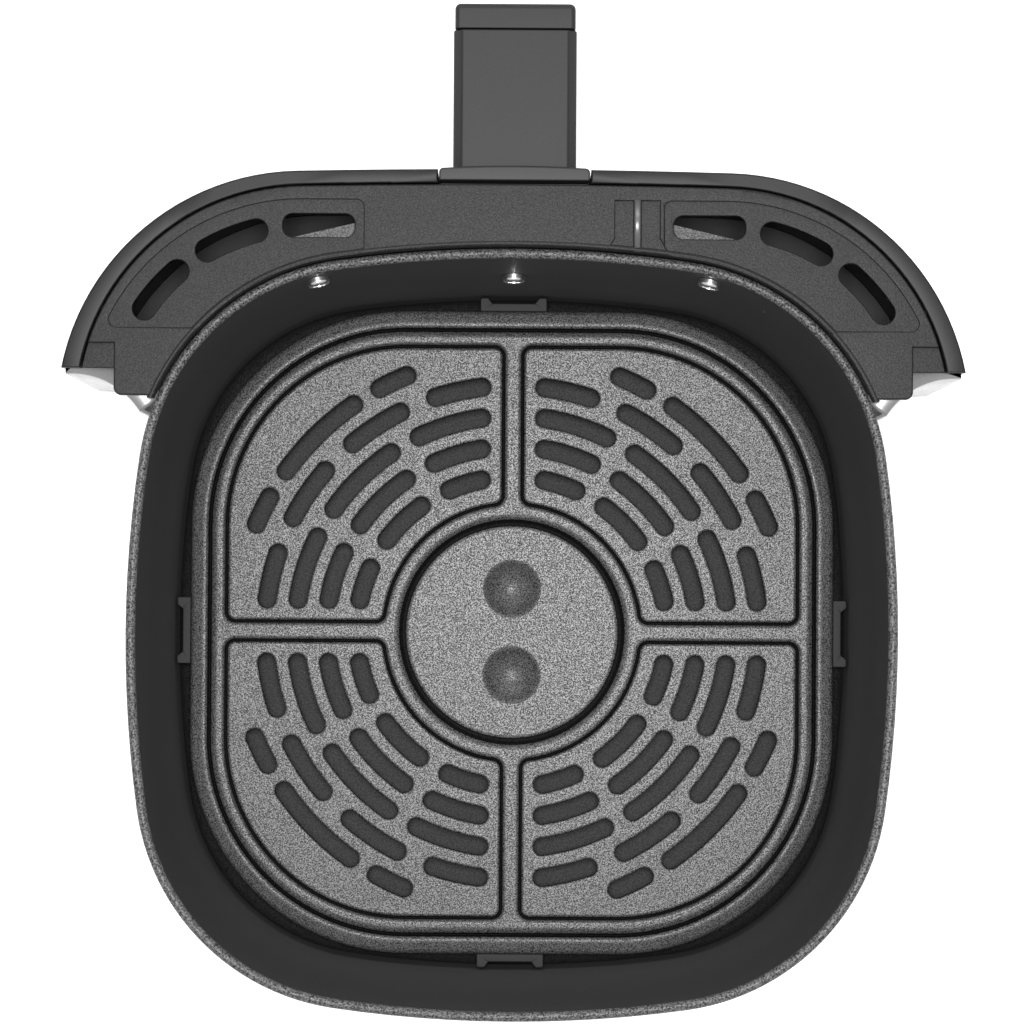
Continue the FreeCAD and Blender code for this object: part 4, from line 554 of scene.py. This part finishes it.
# Rolled inner edge of the top cover, which follows the pan's rim round the front with a fine gap.
lip_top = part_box("top_cover")[1].z / mm
lip_rear = -75.6
lip_gap = 0.3
lip_section = [(rim_half + lip_gap, lip_top - 5)]
lip_section += bend(rim_half + lip_gap + 1.0, lip_top - 0.95, 1.0, 180, 90, 5)
lip_section += [(rim_half + lip_gap + 1.7, lip_top + 0.05), (rim_half + lip_gap + 2.0, lip_top - 0.3)]
bm = bmesh.new()
sweep(bm, lip_section, pan_path())
bmesh.ops.bisect_plane(
    bm,
    geom=bm.verts[:] + bm.edges[:] + bm.faces[:],
    plane_co=(0, lip_rear * mm, 0),
    plane_no=(0, 1, 0),
    clear_outer=True,
)
finish_piece("cover_lip", bm, "drawer", cover_black, "cover_plastic")

# Switch key: a glossy rib that stands between two sunken pads of the cover and works the fryer's
# safety switch.
key_middle = -39.8
key_front = -140.4
key_rear = -125.0
cover_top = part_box("top_cover")[1].z / mm
# Painted sheen: the rib is black plastic, but it is coloured grey and part metal so that it reads as brightly
# lit.
painted_sheen_grey = fleck_material("painted_sheen_grey", (0.15,) * 3, (0.17,) * 3, 0.33, 0.6, 0.3, 0.3, 0.05)
bm = bmesh.new()
bmesh.ops.create_cube(bm, size=1 * mm)
bmesh.ops.scale(bm, verts=bm.verts, vec=(2.1, key_rear - key_front, 2.6))
middle = Vector((key_middle, (key_front + key_rear) / 2, cover_top - 0.9)) * mm
bmesh.ops.translate(bm, verts=bm.verts, vec=middle)
bmesh.ops.bevel(
    bm,
    geom=[e for e in bm.edges if abs(e.verts[0].co.y - e.verts[1].co.y) > 1 * mm],
    offset=0.6 * mm,
    offset_type="OFFSET",
    segments=3,
    profile=0.5,
    affect="EDGES",
    material=-1,
)
finish_piece("switch_rib", bm, "drawer", painted_sheen_grey, "cover_plastic")

# End plates: bright polished sheet that closes each end of the fascia and curls in to the pan, with
# a narrow flange along its top.
brush_group, brush_in, brush_out = new_group("brushing", ("Streak",), Grain=0.4)
drawn = node(
    brush_group,
    "ShaderNodeMapping",
    Vector=node(brush_group, "ShaderNodeTexCoord").outputs["Object"],
    Rotation=(0.02, 0.02, 0.3),
    Scale=(1, 1, 0.04),
)
fineness = node(brush_group, "ShaderNodeMath", {"operation": "DIVIDE"}, i0=1000.0, i1=brush_in.outputs["Grain"])
streak = node(
    brush_group,
    "ShaderNodeTexNoise",
    Vector=drawn.outputs["Vector"],
    Scale=fineness.outputs[0],
    Detail=2.0,
)
brush_group.links.new(streak.outputs["Fac"], brush_out.inputs["Streak"])


def brushed_material(name, color, roughness, grain, contrast):
    """Bare or lacquered metal with fine upright streaks, some darker and duller than others."""
    made, tree, shader = new_material(name, color, roughness, 1.0)
    brushing = use_group(tree, brush_group, Grain=grain)
    mix = node(
        tree,
        "ShaderNodeMix",
        {"data_type": "RGBA"},
        Factor=brushing.outputs["Streak"],
        i6=(*(c * (1 - contrast) for c in color), 1),
        i7=(*(min(1, c * (1 + contrast)) for c in color), 1),
    )
    tree.links.new(mix.outputs[2], shader.inputs["Base Color"])
    shine = node(
        tree,
        "ShaderNodeMapRange",
        Value=brushing.outputs["Streak"],
        To_Min=roughness + contrast / 2,
        To_Max=roughness - contrast / 2,
    )
    tree.links.new(shine.outputs[0], shader.inputs["Roughness"])
    return made


end_bright = brushed_material("end_bright", (0.42,) * 3, 0.4, 0.6, 0.15)
end_low, end_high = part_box("end_plate_right")
end_radius = 26
end_across = 143
end_sheet = 1.6
end_flange = 9
end_turn = 58
end_back = end_low.y / mm + end_sheet
end_top = end_high.z / mm
end_section = [(end_radius, end_low.z / mm), (end_radius, end_top - 0.5), (end_radius + 0.4, end_top)]
end_section += [(end_radius + end_flange, end_top), (end_radius + end_flange, end_top - 0.8)]
end_section += [(end_radius + end_sheet, end_top - 0.8), (end_radius + end_sheet, end_low.z / mm)]
end_section += end_section[:1]
turned = Matrix.Translation((end_across * mm, (end_back + end_radius) * mm, 0))
turned = turned @ Matrix.Rotation(math.radians(-90 - end_turn), 4, "Z")
end_moves = [("turn", end_across, end_back + end_radius, end_turn), ("run", end_high.x / mm - end_across, 0)]
for name, source, side in (("right", "end_plate_right", 1), ("left", "end_plate_left", -1)):
    bm = bmesh.new()
    sweep(bm, end_section, end_moves, turned)
    bmesh.ops.bisect_plane(
        bm,
        geom=bm.verts[:] + bm.edges[:] + bm.faces[:],
        plane_co=(0, (end_back - 3.5) * mm, 0),
        plane_no=(0, -1, 0),
        clear_outer=True,
    )
    bmesh.ops.holes_fill(bm, edges=[e for e in bm.edges if e.is_boundary])
    bmesh.ops.scale(bm, verts=bm.verts, vec=(side, 1, 1))
    finish_piece(f"end_sheet_{name}", bm, "drawer", end_bright, "polished_steel", source)

# Handle: a lighter mount fixed to the fascia, a hollow arm and a front cover over its grip, in
# fine-grained black plastic with bevelled edges.
handle_black = fleck_material("handle_black", (0.012,) * 3, (0.024,) * 3, 0.5, 0.0, 0.3, 0.3, 0.2, 0.3)
mount_black = fleck_material("mount_black", (0.015,) * 3, (0.03,) * 3, 0.48, 0.0, 0.3, 0.3, 0.2, 0.3)
softened("mount_moulding", "handle_mount", "drawer", mount_black, "mount_plastic", 0.5, 35, 99)
softened("arm_moulding", "handle_arm", "drawer", handle_black, "handle_plastic", 0.5, 35, 99)
softened("grip_moulding", "handle_front_cover", "drawer", handle_black, "handle_plastic", 0.3, 35, 99)

# Silicone bumpers: four soft blocks clipped on the plate's skirt that steady it in the pan.
silicone = fleck_material("silicone", (0.012,) * 3, (0.02,) * 3, 0.6, 0.0, 0.5, 0.3, 0.1, 0.3)
for side in ("front", "right", "back", "left"):
    softened(f"bumper_block_{side}", f"bumper_{side}", "crisper", silicone, "silicone", 0.35)

# Steel parts inside the fascia and the fasteners: a coated bracket, a zinc shield and core, and
# bright screws.
bracket_coat = fleck_material("bracket_coat", (0.02,) * 3, (0.16,) * 3, 0.45, 0.0, 0.6, 0.15, 0.5, 0.3)
zinc_grey = brushed_material("zinc_grey", (0.45, 0.46, 0.48), 0.4, 1.5, 0.2)
screw_bright = brushed_material("screw_bright", (0.9,) * 3, 0.28, 0.3, 0.1)
skin_dark = brushed_material("skin_dark", (0.05, 0.05, 0.055), 0.3, 0.4, 0.15)
left_showing = {
    "pan_bracket": bracket_coat,
    "heat_shield": zinc_grey,
    "handle_core": zinc_grey,
    "front_skin": skin_dark,
    "pan_screws": screw_bright,
    "pan_nuts": screw_bright,
    "handle_bolts": screw_bright,
    "cover_screws": screw_bright,
    "bottom_screws": screw_bright,
    "grip_screws": screw_bright,
}
for source, material in left_showing.items():
    nodes[source].data.materials.clear()
    nodes[source].data.materials.append(material)
